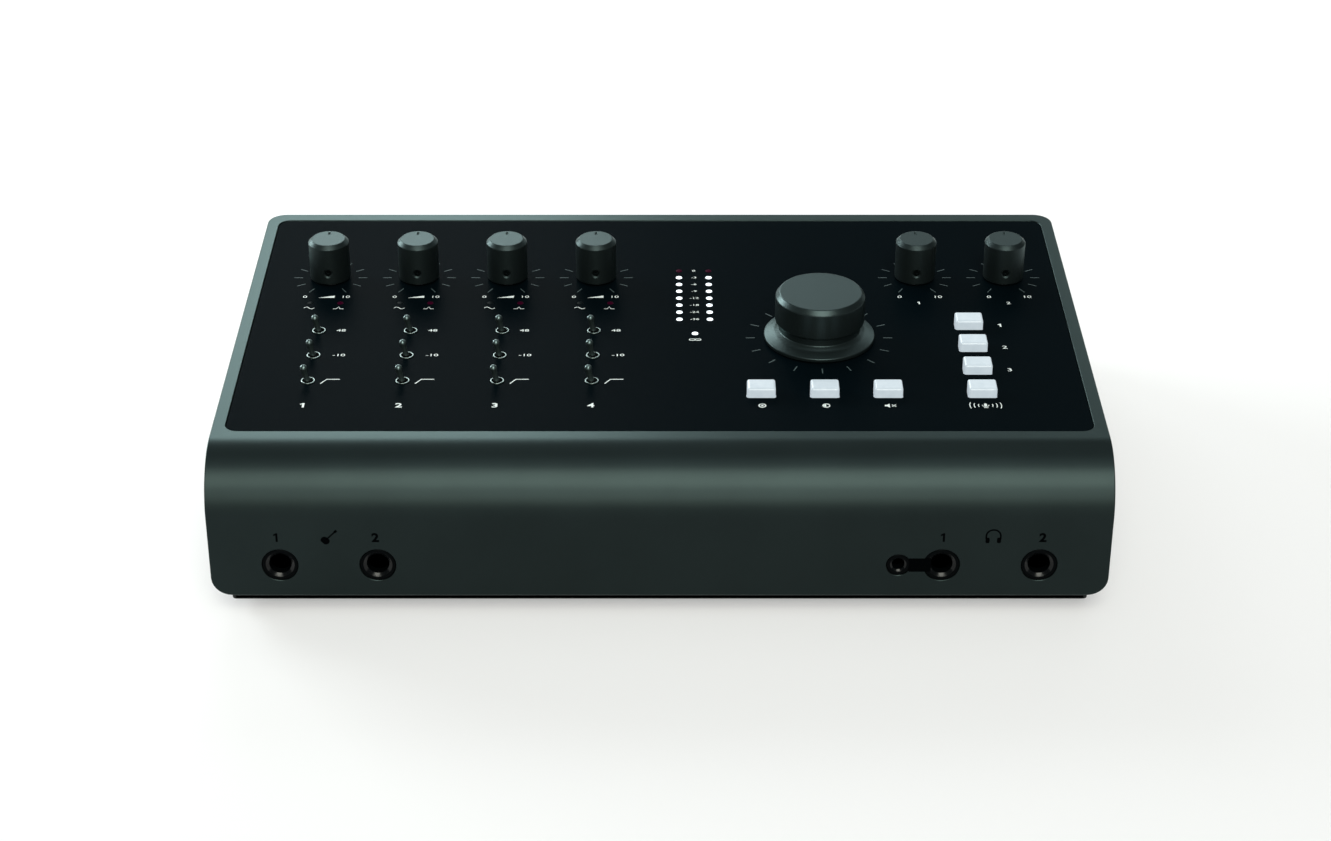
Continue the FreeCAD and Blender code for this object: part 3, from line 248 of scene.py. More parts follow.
def stacked(loops, heights):
    """Loops (rows, points, 2) as a grid in space, with one height to each row."""
    loops = np.stack(loops)
    levels = np.broadcast_to(np.asarray(heights, float)[:, None], loops.shape[:2])
    return np.concatenate([loops, levels[..., None]], -1)


def turned(form, corners, x=0, y=0, steps=64, soft=4):
    """Revolve a contour of (radius, height) corners about the upright axis through (x, y)."""
    radii, heights = contour(corners, soft).T
    form.grid(stacked([ring(x, y, radius, steps)(0) for radius in radii], heights), wrap=True)


def rounded(x, y, wide, tall, corner, steps=7, levels=()):
    """A rectangle with round corners as a function of how far it has grown: four arcs about the
    corner centres, joined by straight sides. The upright sides carry points at the given levels."""
    quarter = np.linspace(0, math.pi / 2, steps + 1)
    levels = np.asarray(levels, float)

    def outline(grow):
        parts = []
        for k, (sx, sy) in enumerate(((1, -1), (1, 1), (-1, 1), (-1, -1))):
            angle = quarter + (k - 1) * math.pi / 2
            centre = (x + sx * (wide / 2 - corner), y + sy * (tall / 2 - corner))
            reach = max(corner + grow, 0.001)
            parts.append(np.array(centre) + reach * compass(angle))
            if len(levels) and k in (0, 2):
                up = levels if k == 0 else levels[::-1]
                edge = np.full(len(up), x + (1 - k) * (wide / 2 + grow))
                parts.append(np.stack([edge, up], -1))
        return np.concatenate(parts)

    return outline


def flat(towards="up", place=(0, 0, 0)):
    """The map of a plate that faces one way: across, along, and depth behind its face."""
    return lambda points: aimed(points * np.array([1, 1, -1]), towards, place)


def slab(form, outline, high, rim, top, steps=3, holes=()):
    """A plate that lies flat, with its upper face at that height."""
    plate(form, outline, list(holes), high, rim, flat("up", (0, 0, top)), steps=steps)


def grown(points):
    """A closed line of points as a function of how far it has grown along its mean normals."""
    points = np.asarray(points, float)
    ahead = np.roll(points, -1, axis=0) - points
    ahead /= np.linalg.norm(ahead, axis=1)[:, None]
    both = ahead + np.roll(ahead, 1, axis=0)
    out = np.stack([both[:, 1], -both[:, 0]], -1)
    out /= (both * both).sum(1)[:, None] / 2
    return lambda grow: points + grow * out


def inside(points, loop):
    """Which points lie in a loop, by counting the sides to the right of each."""
    a, b = loop, np.roll(loop, -1, axis=0)
    px, py = points[:, :1], points[:, 1:]
    spans = (a[:, 1] > py) != (b[:, 1] > py)
    rise = np.where(b[:, 1] == a[:, 1], 1e-12, b[:, 1] - a[:, 1])
    cross = (b[:, 0] - a[:, 0]) * (py - a[:, 1]) / rise + a[:, 0]
    return (spans & (px < cross)).sum(1) % 2 == 1


def fill(loops, lines=()):
    """Triangles between the first loop and the others, with each line (start, end) as an edge."""
    points, edges, total = [], [], 0
    for loop in loops:
        index = np.arange(len(loop)) + total
        points.extend(loop)
        edges.extend(zip(index.tolist(), np.roll(index, -1).tolist()))
        total += len(loop)
    for start, end in lines:
        points.extend([start, end])
        edges.append((total, total + 1))
        total += 2
    found = delaunay_2d_cdt([Vector(p) for p in points], edges, [], 0, 1e-6)
    spots = np.array([tuple(v) for v in found[0]])
    threes = np.array(found[2])
    middle = spots[threes].mean(1)
    keep = inside(middle, np.asarray(loops[0]))
    for hole in loops[1:]:
        keep &= ~inside(middle, np.asarray(hole))
    return spots, threes[keep]


def cover(form, loops, heights, bend=np.asarray, lines=()):
    """Faces between the first loop and the others, at each height."""
    spots, threes = fill(loops, lines)
    for height in heights:
        form.add(bend(np.column_stack([spots, np.full(len(spots), height)])), threes)


def plate(form, outer, holes, depth, rim, bend, lines=(), steps=3):
    """A plate with holes and soft rims. The rim goes down as rim times 1 - cosine and out as rim
    times 1 - sine, runs straight, and mirrors that at the back; bend lays (across, along, depth)
    in space."""
    turn = np.linspace(0, math.pi / 2, steps + 1)
    inset, level = rim * (1 - np.sin(turn)), rim * (1 - np.cos(turn))
    insets = np.concatenate([inset, inset[::-1]])
    levels = np.concatenate([level, depth - level[::-1]])
    for outline, hand in [(outer, -1)] + [(hole, 1) for hole in holes]:
        form.grid(bend(stacked([outline(hand * way) for way in insets], levels)), wrap=True)
    cover(form, [outer(-rim)] + [hole(rim) for hole in holes], (0, depth), bend, lines)


# Finishes


def operator(name, swapped=False):
    """A method of a wire that adds a Math node. Swapped, the other value comes first."""
    def act(wire, other):
        first, second = (other, wire) if swapped else (wire, other)
        return wire.finish.node("ShaderNodeMath", {"operation": name}, {0: first, 1: second})
    return act


class Wire:
    """One output of a node of a finish. Sums, differences and products of wires add Math nodes."""

    def __init__(self, finish, socket):
        self.finish, self.socket = finish, socket

    __add__ = __radd__ = operator("ADD")
    __mul__ = __rmul__ = operator("MULTIPLY")
    __sub__, __rsub__ = operator("SUBTRACT"), operator("SUBTRACT", swapped=True)
    most = operator("MAXIMUM")

    def step(self, low, high):
        """0 below low and 1 above high, with a smooth run between."""
        settings = {"interpolation_type": "SMOOTHSTEP"}
        sockets = {"Value": self, "From Min": low, "From Max": high}
        return self.finish.node("ShaderNodeMapRange", settings, sockets)


class Finish:
    """A material on the principled shader. Keywords set sockets of the shader by their names."""

    def __init__(self, name, **sockets):
        self.material = bpy.data.materials.new(name)
        self.material.use_nodes = True
        self.tree = self.material.node_tree
        self.shader = self.tree.nodes["Principled BSDF"]
        for key, value in sockets.items():
            self.feed(key.replace("_", " "), value)

    def node(self, kind, settings=None, sockets=None, output=0):
        """Add one node: its settings first, then the values or wires of its sockets."""
        node = self.tree.nodes.new(kind)
        for key, value in (settings or {}).items():
            setattr(node, key, value)
        for key, value in (sockets or {}).items():
            self.join(node.inputs[key], value)
        return Wire(self, node.outputs[output])

    def join(self, socket, value):
        """Link a wire to a socket, or set its value."""
        if isinstance(value, Wire):
            self.tree.links.new(value.socket, socket)
        else:
            socket.default_value = value

    def feed(self, name, value):
        """Set or drive one socket of the shader."""
        if not isinstance(value, Wire) and self.shader.inputs[name].type == "RGBA":
            value = tint(value)
        self.join(self.shader.inputs[name], value)

    def where(self, x=1.0, y=1.0, z=1.0):
        """The place on the piece in millimetres, stretched by a factor along each axis."""
        place = self.node("ShaderNodeTexCoord", output="Object")
        factors = (1000 * x, 1000 * y, 1000 * z)
        return self.node("ShaderNodeVectorMath", {"operation": "MULTIPLY"}, {0: place, 1: factors})

    def axis(self, name):
        """One coordinate of the place on the piece."""
        return self.node("ShaderNodeSeparateXYZ", sockets={0: self.where()}, output=name)

    def noise(self, scale, detail=3.0, place=None):
        """Smooth noise with this many waves to the millimetre."""
        sockets = {"Vector": place or self.where(), "Scale": scale, "Detail": detail}
        return self.node("ShaderNodeTexNoise", sockets=sockets, output="Fac")

    def cells(self, scale):
        """Distance to the nearest of scattered points, this many to the millimetre."""
        sockets = {"Vector": self.where(), "Scale": scale}
        return self.node("ShaderNodeTexVoronoi", sockets=sockets, output="Distance")

    def blend(self, factor, first, second):
        """A colour between two."""
        settings = {"data_type": "RGBA", "clamp_factor": True}
        ends = [end if isinstance(end, Wire) else tint(end) for end in (first, second)]
        return self.node("ShaderNodeMix", settings, {0: factor, 6: ends[0], 7: ends[1]}, output=2)

    def done(self, base, rough, height=None, distance=0):
        """The material with its colour and roughness, raised by height times a distance in
        millimetres."""
        self.feed("Base Color", base)
        self.feed("Roughness", rough)
        if height:
            sockets = {"Height": height, "Distance": distance * MM, "Strength": 1.0}
            self.feed("Normal", self.node("ShaderNodeBump", sockets=sockets))
        return self.material


def tint(colour):
    """A colour of red, green and blue from 0 to 255 as the shader wants it."""
    channels = [value / 255 for value in colour[:3]]
    return tuple(c / 12.92 if c <= 0.04045 else ((c + 0.055) / 1.055) ** 2.4 for c in channels) + (1.0,)


EDGE_TINT = (240, 255, 254)


def blasted_metal(name, colour, rough, metal, fleck=9):
    """Bead-blasted metal: fine pits, faint cloudiness and a few brighter grains."""
    finish = Finish(name, Metallic=metal, Specular_Tint=EDGE_TINT)
    pits = finish.noise(7.0, 2.0)
    cloud = finish.noise(0.045, 4.0)
    spark = finish.noise(16.0, 0.0).step(0.62, 0.78)
    base = finish.blend(cloud.step(0.3, 0.7), [c * 0.95 for c in colour], colour)
    base = finish.blend(spark * 0.45, base, [min(c * 1.07 + fleck, 255) for c in colour])
    return finish.done(base, rough + (cloud - 0.5) * 0.02 + (pits - 0.5) * 0.10, pits, 0.006)


def coated_black(name, colour, rough):
    """Powder coat: small rounded bumps, painted lighter on their tops and darker in their hollows, a
    painted highlight and painted shade.
    """
    finish = Finish(name, Specular_IOR_Level=0.25)
    bumps = finish.cells(2.4)
    drift = finish.noise(0.03, 3.0)
    lighter = [c * 1.22 + 1 for c in colour]
    # Tone follows the bump height: painted highlight on the tops, painted shade in the hollows, plus a slow
    # random drift
    base = finish.blend(bumps.step(0.15, 0.7) * 0.5 + drift * 0.3, colour, lighter)
    return finish.done(base, rough + (bumps - 0.4) * 0.12, bumps, 0.012)


def moulded(name, colour, rough, spec=0.4):
    """Moulded plastic: a fine spark-eroded grain and slight unevenness of colour."""
    finish = Finish(name, Specular_IOR_Level=spec)
    grain = finish.noise(5.0, 3.0)
    flow = finish.noise(0.12, 2.0)
    base = finish.blend(flow * 0.6 + grain * 0.3, [c * 0.88 for c in colour], colour)
    return finish.done(base, rough + (grain - 0.5) * 0.14, grain, 0.01)


def plated(name, colour, rough, lines=2.5):
    """Plated or turned metal: faint drawn lines and small stains."""
    finish = Finish(name, Metallic=1.0)
    drawn = finish.noise(lines, 2.0, finish.where(1.0, 1.0, 9.0))
    stain = finish.noise(0.4, 3.0).step(0.5, 0.75)
    base = finish.blend(stain * 0.5, colour, [c * 0.8 for c in colour])
    return finish.done(base, rough + (drawn - 0.5) * 0.16 + stain * 0.06, drawn, 0.004)


def printed(name, colour, rough=0.55, spec=0.2):
    """Screen-print ink: slightly mottled, with a soft broken edge to its thickness."""
    finish = Finish(name, Specular_IOR_Level=spec)
    mottle = finish.noise(6.0, 3.0)
    base = finish.blend(mottle.step(0.3, 0.8), [c * 0.9 for c in colour], colour)
    return finish.done(base, rough + mottle * 0.1, mottle, 0.003)


def circuit_green():
    """Solder mask over copper tracks: pale square-cut runs under a green gloss."""
    finish = Finish("board_green")
    runs = finish.cells(0.35)
    pads = finish.noise(0.6, 1.0).step(0.56, 0.6)
    green = finish.blend(runs.step(0.45, 0.5), (10, 52, 30), (18, 78, 44))
    return finish.done(finish.blend(pads * 0.4, green, (60, 110, 60)), 0.32 + runs * 0.1, pads, 0.03)


def black_panel():
    """Matt black lacquer with a very fine grain, and a drift of tone across the panel."""
    finish = Finish("fascia_black", Specular_IOR_Level=0.0038)
    grain = finish.noise(6.0, 2.0)
    base = finish.blend(finish.noise(0.012, 2.0), (2, 7, 10), (3, 9, 13))
    base = finish.blend((grain - 0.4) * 0.4, base, (8, 18, 23))
    return finish.done(base, 0.42 + (grain - 0.5) * 0.1, grain, 0.004)


def socket_mouth():
    """Moulded black, dull on the flat ring and polished from the cone inwards."""
    finish = Finish("socket_black", Specular_IOR_Level=0.02, Coat_Roughness=0.17)
    grain = finish.noise(5.0, 3.0)
    behind = finish.axis("Y") - (FRONT + 0.2)
    finish.feed("Coat Weight", behind.step(0.06, 0.16) * 0.42)
    return finish.done(finish.blend(grain, (2, 3, 4), (4, 6, 7)), 0.3 + (grain - 0.5) * 0.14, grain, 0.006)


def lever_gunmetal():
    """Dark plated lever, painted near black and rougher from its foot to just above the collar's top:
    painted shade where it stands in the collar.
    """
    finish = Finish("lever_metal", Metallic=0.9)
    grain = finish.noise(4.0, 2.0)
    above = finish.axis("Z").step(52.0, 52.5)
    # Near black (4, 5, 5) below the collar's top is painted shade
    base = finish.blend(above, (4, 5, 5), finish.blend(grain, (70, 84, 84), (94, 108, 108)))
    return finish.done(base, 0.62 - above * 0.3 + (grain - 0.5) * 0.08, grain, 0.004)


def lit_plastic():
    """Milky cap over a mid grey of its own, with a painted glow that stands in for light on its top and
    front: faint cloud in the plastic and in its glow.
    """
    finish = Finish("button_white", Specular_IOR_Level=0.45, Emission_Strength=0.7)
    cloud = finish.noise(0.35, 3.0)
    grain = finish.noise(8.0, 1.0)
    # The glow is painted light, not a lamp under the cap
    finish.feed("Emission Color", finish.blend(cloud, (190, 205, 215), (215, 225, 232)))
    base = finish.blend(cloud, (103, 110, 115), (110, 118, 123))
    return finish.done(base, 0.22 + (grain - 0.5) * 0.1, grain, 0.003)


def lamp(name, colour, glow, strength):
    """Small lens with a faint moulding grain in its colour and its glow."""
    finish = Finish(name, Emission_Strength=strength, Specular_IOR_Level=0.01)
    grain = finish.noise(3.0, 2.0)
    finish.feed("Emission Color", finish.blend(grain * 0.5, glow, [c * 0.85 for c in glow]))
    return finish.done(finish.blend(grain, [c * 0.85 for c in colour], colour), 0.25 + grain * 0.1)


SHELL = blasted_metal("shell_metal", (33, 41, 41), 0.34, 0.96, fleck=4)
# Knobs and dial take one metal in two copies: the knobs' is darker, painted shade, and the dial's lighter,
# painted light, to set how bright each renders
KNOB = blasted_metal("knob_metal", (37, 46, 47), 0.41, 0.82, fleck=8)
DIAL_METAL = blasted_metal("dial_metal", (42, 52, 53), 0.34, 0.82, fleck=8)
FASCIA = black_panel()
CHASSIS = coated_black("chassis_black", (20, 22, 23), 0.6)
RUBBER = moulded("foot_rubber", (20, 20, 21), 0.85, 0.2)
STEEL = plated("screw_steel", (38, 40, 42), 0.42)
BLACKENED = plated("screw_black", (24, 30, 31), 0.38)
BOARD = circuit_green()
BRASS = plated("standoff_brass", (190, 160, 90), 0.35)
SOCKET = moulded("connector_black", (3, 4, 5), 0.24, 0.08)
SOCKET_FRONT = socket_mouth()
HOUSING = moulded("housing_grey", (70, 73, 76), 0.5)
CHROME = plated("collar_chrome", (118, 130, 128), 0.3, 5.0)
LAMP = lamp("lamp_white", (225, 232, 235), (235, 245, 255), 1.3)
LAMP_RED = lamp("lamp_red", (46, 1, 24), (120, 5, 60), 0.01)
LAMP_OFF = lamp("lamp_clear", (13, 19, 21), (60, 70, 72), 0.0)
PORT = plated("port_steel", (165, 168, 170), 0.3)
SHAFT = plated("shaft_steel", (60, 66, 66), 0.36, 4.0)
LEVER = lever_gunmetal()
CAP = lit_plastic()
INK_WHITE = printed("print_white", (225, 232, 232))
INK_GREY = printed("print_grey", (66, 80, 82))
INK_BLACK = printed("print_black", (3, 4, 5), 0.8, 0.0)

CAD_FINISH = {
    "main_board": BOARD, "control_board": BOARD, "board_standoffs": BRASS, "board_link": SOCKET,
    "pot_housings": HOUSING, "encoder_housing": HOUSING, "toggle_housings": HOUSING,
    "button_switches": SOCKET, "gain_shaft": SHAFT, "headphone_shaft": SHAFT, "encoder_shaft": SHAFT,
}


def dress_nodes():
    """Give every carried-over node its finish."""
    for name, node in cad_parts.items():
        for start, finish in CAD_FINISH.items():
            if name.startswith(start):
                node.data.materials.clear()
                node.data.materials.append(finish)


# Shell and panel


def shell_bend(points):
    """Lay the flat plate over the nose: straight up the front, round a quarter circle about the nose's
    centre, then straight back along the top. Depth goes inwards."""
    x, run, deep = points[..., 0], points[..., 1], points[..., 2]
    upright = TOP - NOSE - SKIRT
    arc = NOSE * math.pi / 2
    angle = np.clip((run - upright) / NOSE, 0, math.pi / 2)
    on_top = np.maximum(run - upright - arc, 0)
    below = np.minimum(run - upright, 0)
    y = FRONT + NOSE - (NOSE - deep - SKIN) * np.cos(angle) + on_top
    z = TOP - NOSE + below + (NOSE - deep) * np.sin(angle)
    return np.stack([x, y, z], -1)


def wrap_shell():
    """The bent plate, cut flat with its corners rounded, then laid over the nose."""
    upright = TOP - NOSE - SKIRT
    arc = NOSE * math.pi / 2
    length = upright + arc + (BACK - FRONT - NOSE)
    bends = upright + arc * np.linspace(-0.01, 1.01, 50)
    outer = rounded(0, length / 2, SIDE * 2, length, SHELL_CORNER, levels=bends)
    to_run = upright + arc - (FRONT + NOSE)
    low, high = PANEL_LOW - GAP + to_run, PANEL_HIGH + GAP + to_run
    recess = rounded(0, (low + high) / 2, PANEL_WIDE + 2 * GAP, high - low, PANEL_CORNER + GAP)
    holes = [ring(x, JACK_Z - SKIRT, JACK_NOSE + 0.1, 64) for x in FRONT_JACKS]
    holes.append(ring(MINI_X, JACK_Z - SKIRT, 3.6))
    edge = SIDE - SHELL_RIM
    lines = [((-edge, level), (edge, level)) for level in bends]
    form = Form()
    plate(form, outer, [recess] + holes, WALL, SHELL_RIM, shell_bend, lines)
    form.made("shell", SHELL, "shell_metal", ["wrap_shell"])


def button_outline(x, y, grow=0.0):
    """A button's outline, grown by this much."""
    return rounded(x, y, BUTTON_WIDE + grow * 2, BUTTON_DEEP + grow * 2, BUTTON_CORNER + grow)


def top_fascia():
    """Black panel with a hole for every control, each with a hair of a rim."""
    holes = [ring(x, KNOB_Y, 3.6) for x in CHANNELS + PHONES]
    holes.append(ring(*DIAL, 4.6))
    holes += [ring(x, y, COLLAR + 0.1, 32) for x in CHANNELS for y in TOGGLES.values()]
    holes += [button_outline(x, y, 0.25) for x, y in ROW_BUTTONS + COLUMN_BUTTONS]
    lamps_at = [(x + CHANNEL_LAMP_HALF * hand, CHANNEL_LAMP_Y) for x in CHANNELS for hand in (-1, 1)]
    holes += [ring(x, y, LAMP_RADIUS + 0.1, 24) for x, y in METER_LAMPS + lamps_at + [LINK_LAMP]]
    middle, deep = (PANEL_LOW + PANEL_HIGH) / 2, PANEL_HIGH - PANEL_LOW
    outer = rounded(0, middle, PANEL_WIDE, deep, PANEL_CORNER)
    form = Form()
    plate(form, outer, holes, 1.2, 0.08, flat("up", (0, 0, PANEL)), steps=2)
    form.made("fascia", FASCIA, "fascia_black", ["top_fascia"])


# Knobs, dial, levers, buttons, lamps


def pierced(form, ts, zs, block, centre, radius, lip, depth, bend):
    """A grid over ts and zs with one block of cells swapped for rings that run from the block's edge
    to a round hole, down its chamfer and its wall to a floor."""
    left, right, low, high = block
    across, along = np.meshgrid(ts, zs)
    level = np.zeros_like(across)
    points = bend(np.stack([across, along, level], -1))
    columns = len(ts)
    i, j = np.meshgrid(np.arange(len(zs) - 1), np.arange(columns - 1), indexing="ij")
    cut = (i >= low) & (i < high) & (j >= left) & (j < right)
    i, j = i[~cut], j[~cut]
    corners = [i * columns + j, i * columns + j + 1, (i + 1) * columns + j + 1, (i + 1) * columns + j]
    form.add(points, np.stack(corners, -1))
    edge = np.concatenate([
        np.stack([ts[left:right], np.full(right - left, zs[low])], -1),
        np.stack([np.full(high - low, ts[right]), zs[low:high]], -1),
        np.stack([ts[right:left:-1], np.full(right - left, zs[high])], -1),
        np.stack([np.full(high - low, ts[left]), zs[high:low:-1]], -1),
    ])
    away = edge - np.array(centre)
    unit = away / np.linalg.norm(away, axis=1)[:, None]
    rims = [edge + (np.array(centre) + unit * (radius + lip) - edge) * share for share in (0, 0.5, 1)]
    deeps = [0.0, 0.0, 0.0]
    well = depth + 0.7
    rows = ((radius, lip), (radius, depth), (radius * 0.55, depth), (radius * 0.5, well), (0, well))
    for reach, deep in rows:
        rims.append(np.array(centre) + unit * reach)
        deeps.append(deep)
    form.grid(bend(stacked(rims, deeps)), wrap=True)


def round_wall(radius):
    """Roll a flat strip into a cylinder: across becomes angle times radius, from the front face."""
    def bend(points):
        angle = points[..., 0] / radius - math.pi / 2
        reach = radius - points[..., 2]
        return np.stack([reach * np.cos(angle), reach * np.sin(angle), points[..., 1]], -1)
    return bend


def knob_form():
    """Turned knob: bevelled foot, plain wall with the set-screw hole in front, wide bevel, flat top
    with a pointer groove towards the back, and a hollow skirt."""
    form = Form()
    radius, top, steps = KNOB_RADIUS, KNOB_HIGH, 72
    ts = np.linspace(-math.pi, math.pi, steps + 1) * radius
    zs = np.array([1.05, 2.1, 3.0, 3.85, 4.7, 5.55, 6.4, 7.3, 10.0, 12.6, 12.95])
    middle = steps // 2
    block = (middle - 4, middle + 4, 1, 7)
    pierced(form, ts, zs, block, (0.0, SET_SCREW_HIGH), 1.1, 0.46, 0.9, round_wall(radius))
    upper = [(radius, zs[-1]), (radius, 13.2, 0.2), (5.4, top, 0.18), (5.1, top)]
    turned(form, upper, steps=steps)
    lower = [
        (radius, zs[0]), (radius, 0.8, 0.2), (5.4, 0.8, 0.1), (5.4, 2.6), (SHAFT_BORE, 2.6),
        (SHAFT_BORE, 12), (0, 12),
    ]
    turned(form, lower, steps=steps)
    groove, floor_in, floor_z = rounded(0, 3.75, 0.9, 2.1, 0.4, 5), -0.35, top - 0.4
    cover(form, [ring(0, 0, 5.1, steps)(0), groove(0)], [top])
    form.grid(stacked([groove(0), groove(floor_in)], (top, floor_z)), wrap=True)
    cover(form, [groove(floor_in)], [floor_z])
    return form


def set_screw_form():
    """Grub screw in the knob's side: flat end with a cone-bottomed socket."""
    form = Form()
    turned(form, [(0, -0.5), (1.06, -0.5), (1.06, 0.0), (0.6, 0.0), (0.5, -0.35), (0, -0.45)], steps=24)
    return form.copies([(0, 0.5 - KNOB_RADIUS, SET_SCREW_HIGH)], "front")


def small_knobs():
    knob, screw = knob_form(), set_screw_form()
    for group, places in (("gain", CHANNELS), ("headphone", PHONES)):
        for i, x in enumerate(places, start=1):
            place, body = [(x, KNOB_Y, PANEL)], f"{group}_{i}"
            knob.copies(place).made(f"{group}_cap_{i}", KNOB, "knob_metal", [f"{group}_knob_{i}"], body)
            screw.copies(place).made(f"{group}_set_screw_{i}", BLACKENED, "screw_steel", (), body)


def dial():
    """Thin flange with a bright rim, cone up to the neck, undercut, drum and wide bevel."""
    form = Form()
    outside = [
        (8.0, 0.6), (17.5, 0.6, 0.25), (17.5, 1.7, 0.3), (14.3, 2.75, 0.5), (12.75, 3.7, 0.25),
        (12.7, 6.0, 0.2), (14.1, 6.9, 0.3), (14.1, 15.0, 0.3), (12.85, 16.5, 0.28), (0, 16.5),
    ]
    hollow = [(8.0, 0.6), (8.0, 2.6), (SHAFT_BORE, 2.6), (SHAFT_BORE, 12), (0, 12)]
    turned(form, outside, steps=128, soft=5)
    turned(form, hollow, steps=128)
    form.copies([(*DIAL, PANEL)]).made("dial", DIAL_METAL, "knob_metal", ["volume_knob"], "dial")


def lever_form():
    """Turned bat lever: boot ball, slim neck that swells to a round tip, then leaned to the left."""
    form = Form()
    ball = [(1.5 * math.sin(a), -0.7 - 1.5 * math.cos(a)) for a in np.linspace(0, 2.2, 14)]
    neck = [(0.92, 1.0), (0.86, 2.2), (0.86, 3.2), (0.92, 4.0), (1.06, 4.8)]
    tip = [(1.18 * math.cos(a), 5.42 + 1.18 * math.sin(a)) for a in np.linspace(-0.2, math.pi / 2, 12)]
    tail = [(0, -4.0), (0.7, -4.0), (0.7, -2.1)]
    turned(form, tail + ball[4:] + neck + tip, steps=32)
    lean = math.radians(LEVER_LEAN)
    spin = np.array([[math.cos(lean), 0, math.sin(lean)], [0, 1, 0], [-math.sin(lean), 0, math.cos(lean)]])
    form.points = [points @ spin for points in form.points]
    return form


def toggles():
    lever, collar = lever_form(), Form()
    turned(collar, [
        (COLLAR_BORE, -3.1), (COLLAR_BORE, 0.3, 0.08), (COLLAR, 0.3, 0.14), (COLLAR, -3.1),
        (COLLAR_BORE, -3.1),
    ], steps=48)
    places = []
    for i, x in enumerate(CHANNELS, start=1):
        for row, y in TOGGLES.items():
            name = f"toggle_{i}_{row}"
            places.append((x, y, PANEL))
            lever.copies([(x, y, LEVER_PIVOT)]).made(f"lever_{i}_{row}", LEVER, "lever_metal", [name], name)
    collar.copies(places).made("toggle_collars", CHROME, "collar_chrome", ["toggle_bushes"])


def cap_form():
    """Button cap: a stack of outlines that draws in over a soft shoulder to a faintly crowned top,
    with a rim under the panel."""
    form = Form()
    outline = button_outline(0, 0)
    turn = np.linspace(0, math.pi / 2, 6)
    rows = [(1.1, 47.6), (1.1, 48.6), (0, 48.6), (0, 54.1)]
    rows += [(-0.6 * (1 - math.cos(a)), 54.15 + 0.6 * math.sin(a)) for a in turn]
    rows += [(-1.4, 54.79)]
    form.grid(stacked([outline(grow) for grow, _ in rows], [height for _, height in rows]), wrap=True)
    for grow, height in (rows[0], rows[-1]):
        cover(form, [outline(grow)], [height])
    turned(form, [(0, 40.8), (1.6, 40.8), (1.6, 47.6), (0, 47.6)], steps=24)
    return form


def buttons():
    cap = cap_form()
    for group, places in (("row", ROW_BUTTONS), ("column", COLUMN_BUTTONS)):
        for i, (x, y) in enumerate(places, start=1):
            name = f"{group}_button_{i}"
            cap.copies([(x, y, 0)]).made(f"{group}_cap_{i}", CAP, "button_white", [name], name)


def lamps():
    """Lenses with a low dome over their light pipes: the lit ones, the red ones, the dark ones."""
    lens = Form()
    wide = LAMP_RADIUS
    dome = [(wide * math.cos(a), 0.1 * math.sin(a)) for a in np.linspace(0, math.pi / 2, 6)]
    turned(lens, [(0, -13.8), (wide, -13.8), (wide, -0.05)] + dome, steps=28)
    top = METER_YS[-1]
    lit = [(x, y) for x, y in METER_LAMPS if y < top] + [LINK_LAMP]
    peak = [(x, y) for x, y in METER_LAMPS if y == top]
    peak += [(x + CHANNEL_LAMP_HALF, CHANNEL_LAMP_Y) for x in CHANNELS]
    dark = [(x - CHANNEL_LAMP_HALF, CHANNEL_LAMP_Y) for x in CHANNELS]
    for name, finish, places, nodes in (
        ("lit", LAMP, lit, ["indicator_leds"]), ("red", LAMP_RED, peak, ()), ("dark", LAMP_OFF, dark, ()),
    ):
        lens.copies([(x, y, PANEL) for x, y in places]).made(f"lamps_{name}", finish, "lamp_white", nodes)


# Sockets


def jack_form(nose, bore, mouth, depth, wide):
    """Phone socket that faces out along its axis: soft ring, cone to the bore, blind bore, and the
    body behind as a block."""
    form = Form()
    back, ring_in = -3.2, bore + mouth
    turned(form, [
        (nose, back), (nose, 0, 0.25), (ring_in, 0, 0.1), (bore + 0.05, -mouth * 0.65, 0.1),
        (bore, -mouth - 0.6), (bore, -depth), (0, -depth),
    ], steps=64)
    turned(form, [(nose, back), (0, back)], steps=64)
    slab(form, rounded(0, 0, wide, min(wide, 12.4), 0.4, 3), depth + 1.5 + back, 0.15, back, 2)
    return form


def phone_sockets():
    """The large sockets at the front and the back, and the small one."""
    mouth = FRONT + 0.2
    big, small = jack_form(JACK_NOSE, 3.25, 1.2, 31, 15.2), jack_form(3.5, 1.78, 0.8, 14, 7)
    for name, form, towards, xs, y, finish, node in (
        ("front_sockets", big, "front", FRONT_JACKS, mouth, SOCKET_FRONT, "front_jacks"),
        ("mini_socket", small, "front", [MINI_X], mouth, SOCKET_FRONT, "headphone_mini_jack"),
        ("line_sockets", big, "back", LINE_OUTS, REAR + 1.6, SOCKET, "line_out_jacks"),
    ):
        places = [(x, y, JACK_Z) for x in xs]
        form.copies(places, towards).made(name, finish, "connector_black", [node])


def contact_spots():
    """The places of the three lined holes."""
    return CONTACT_CIRCLE * compass(np.radians([30, 150, 270]))


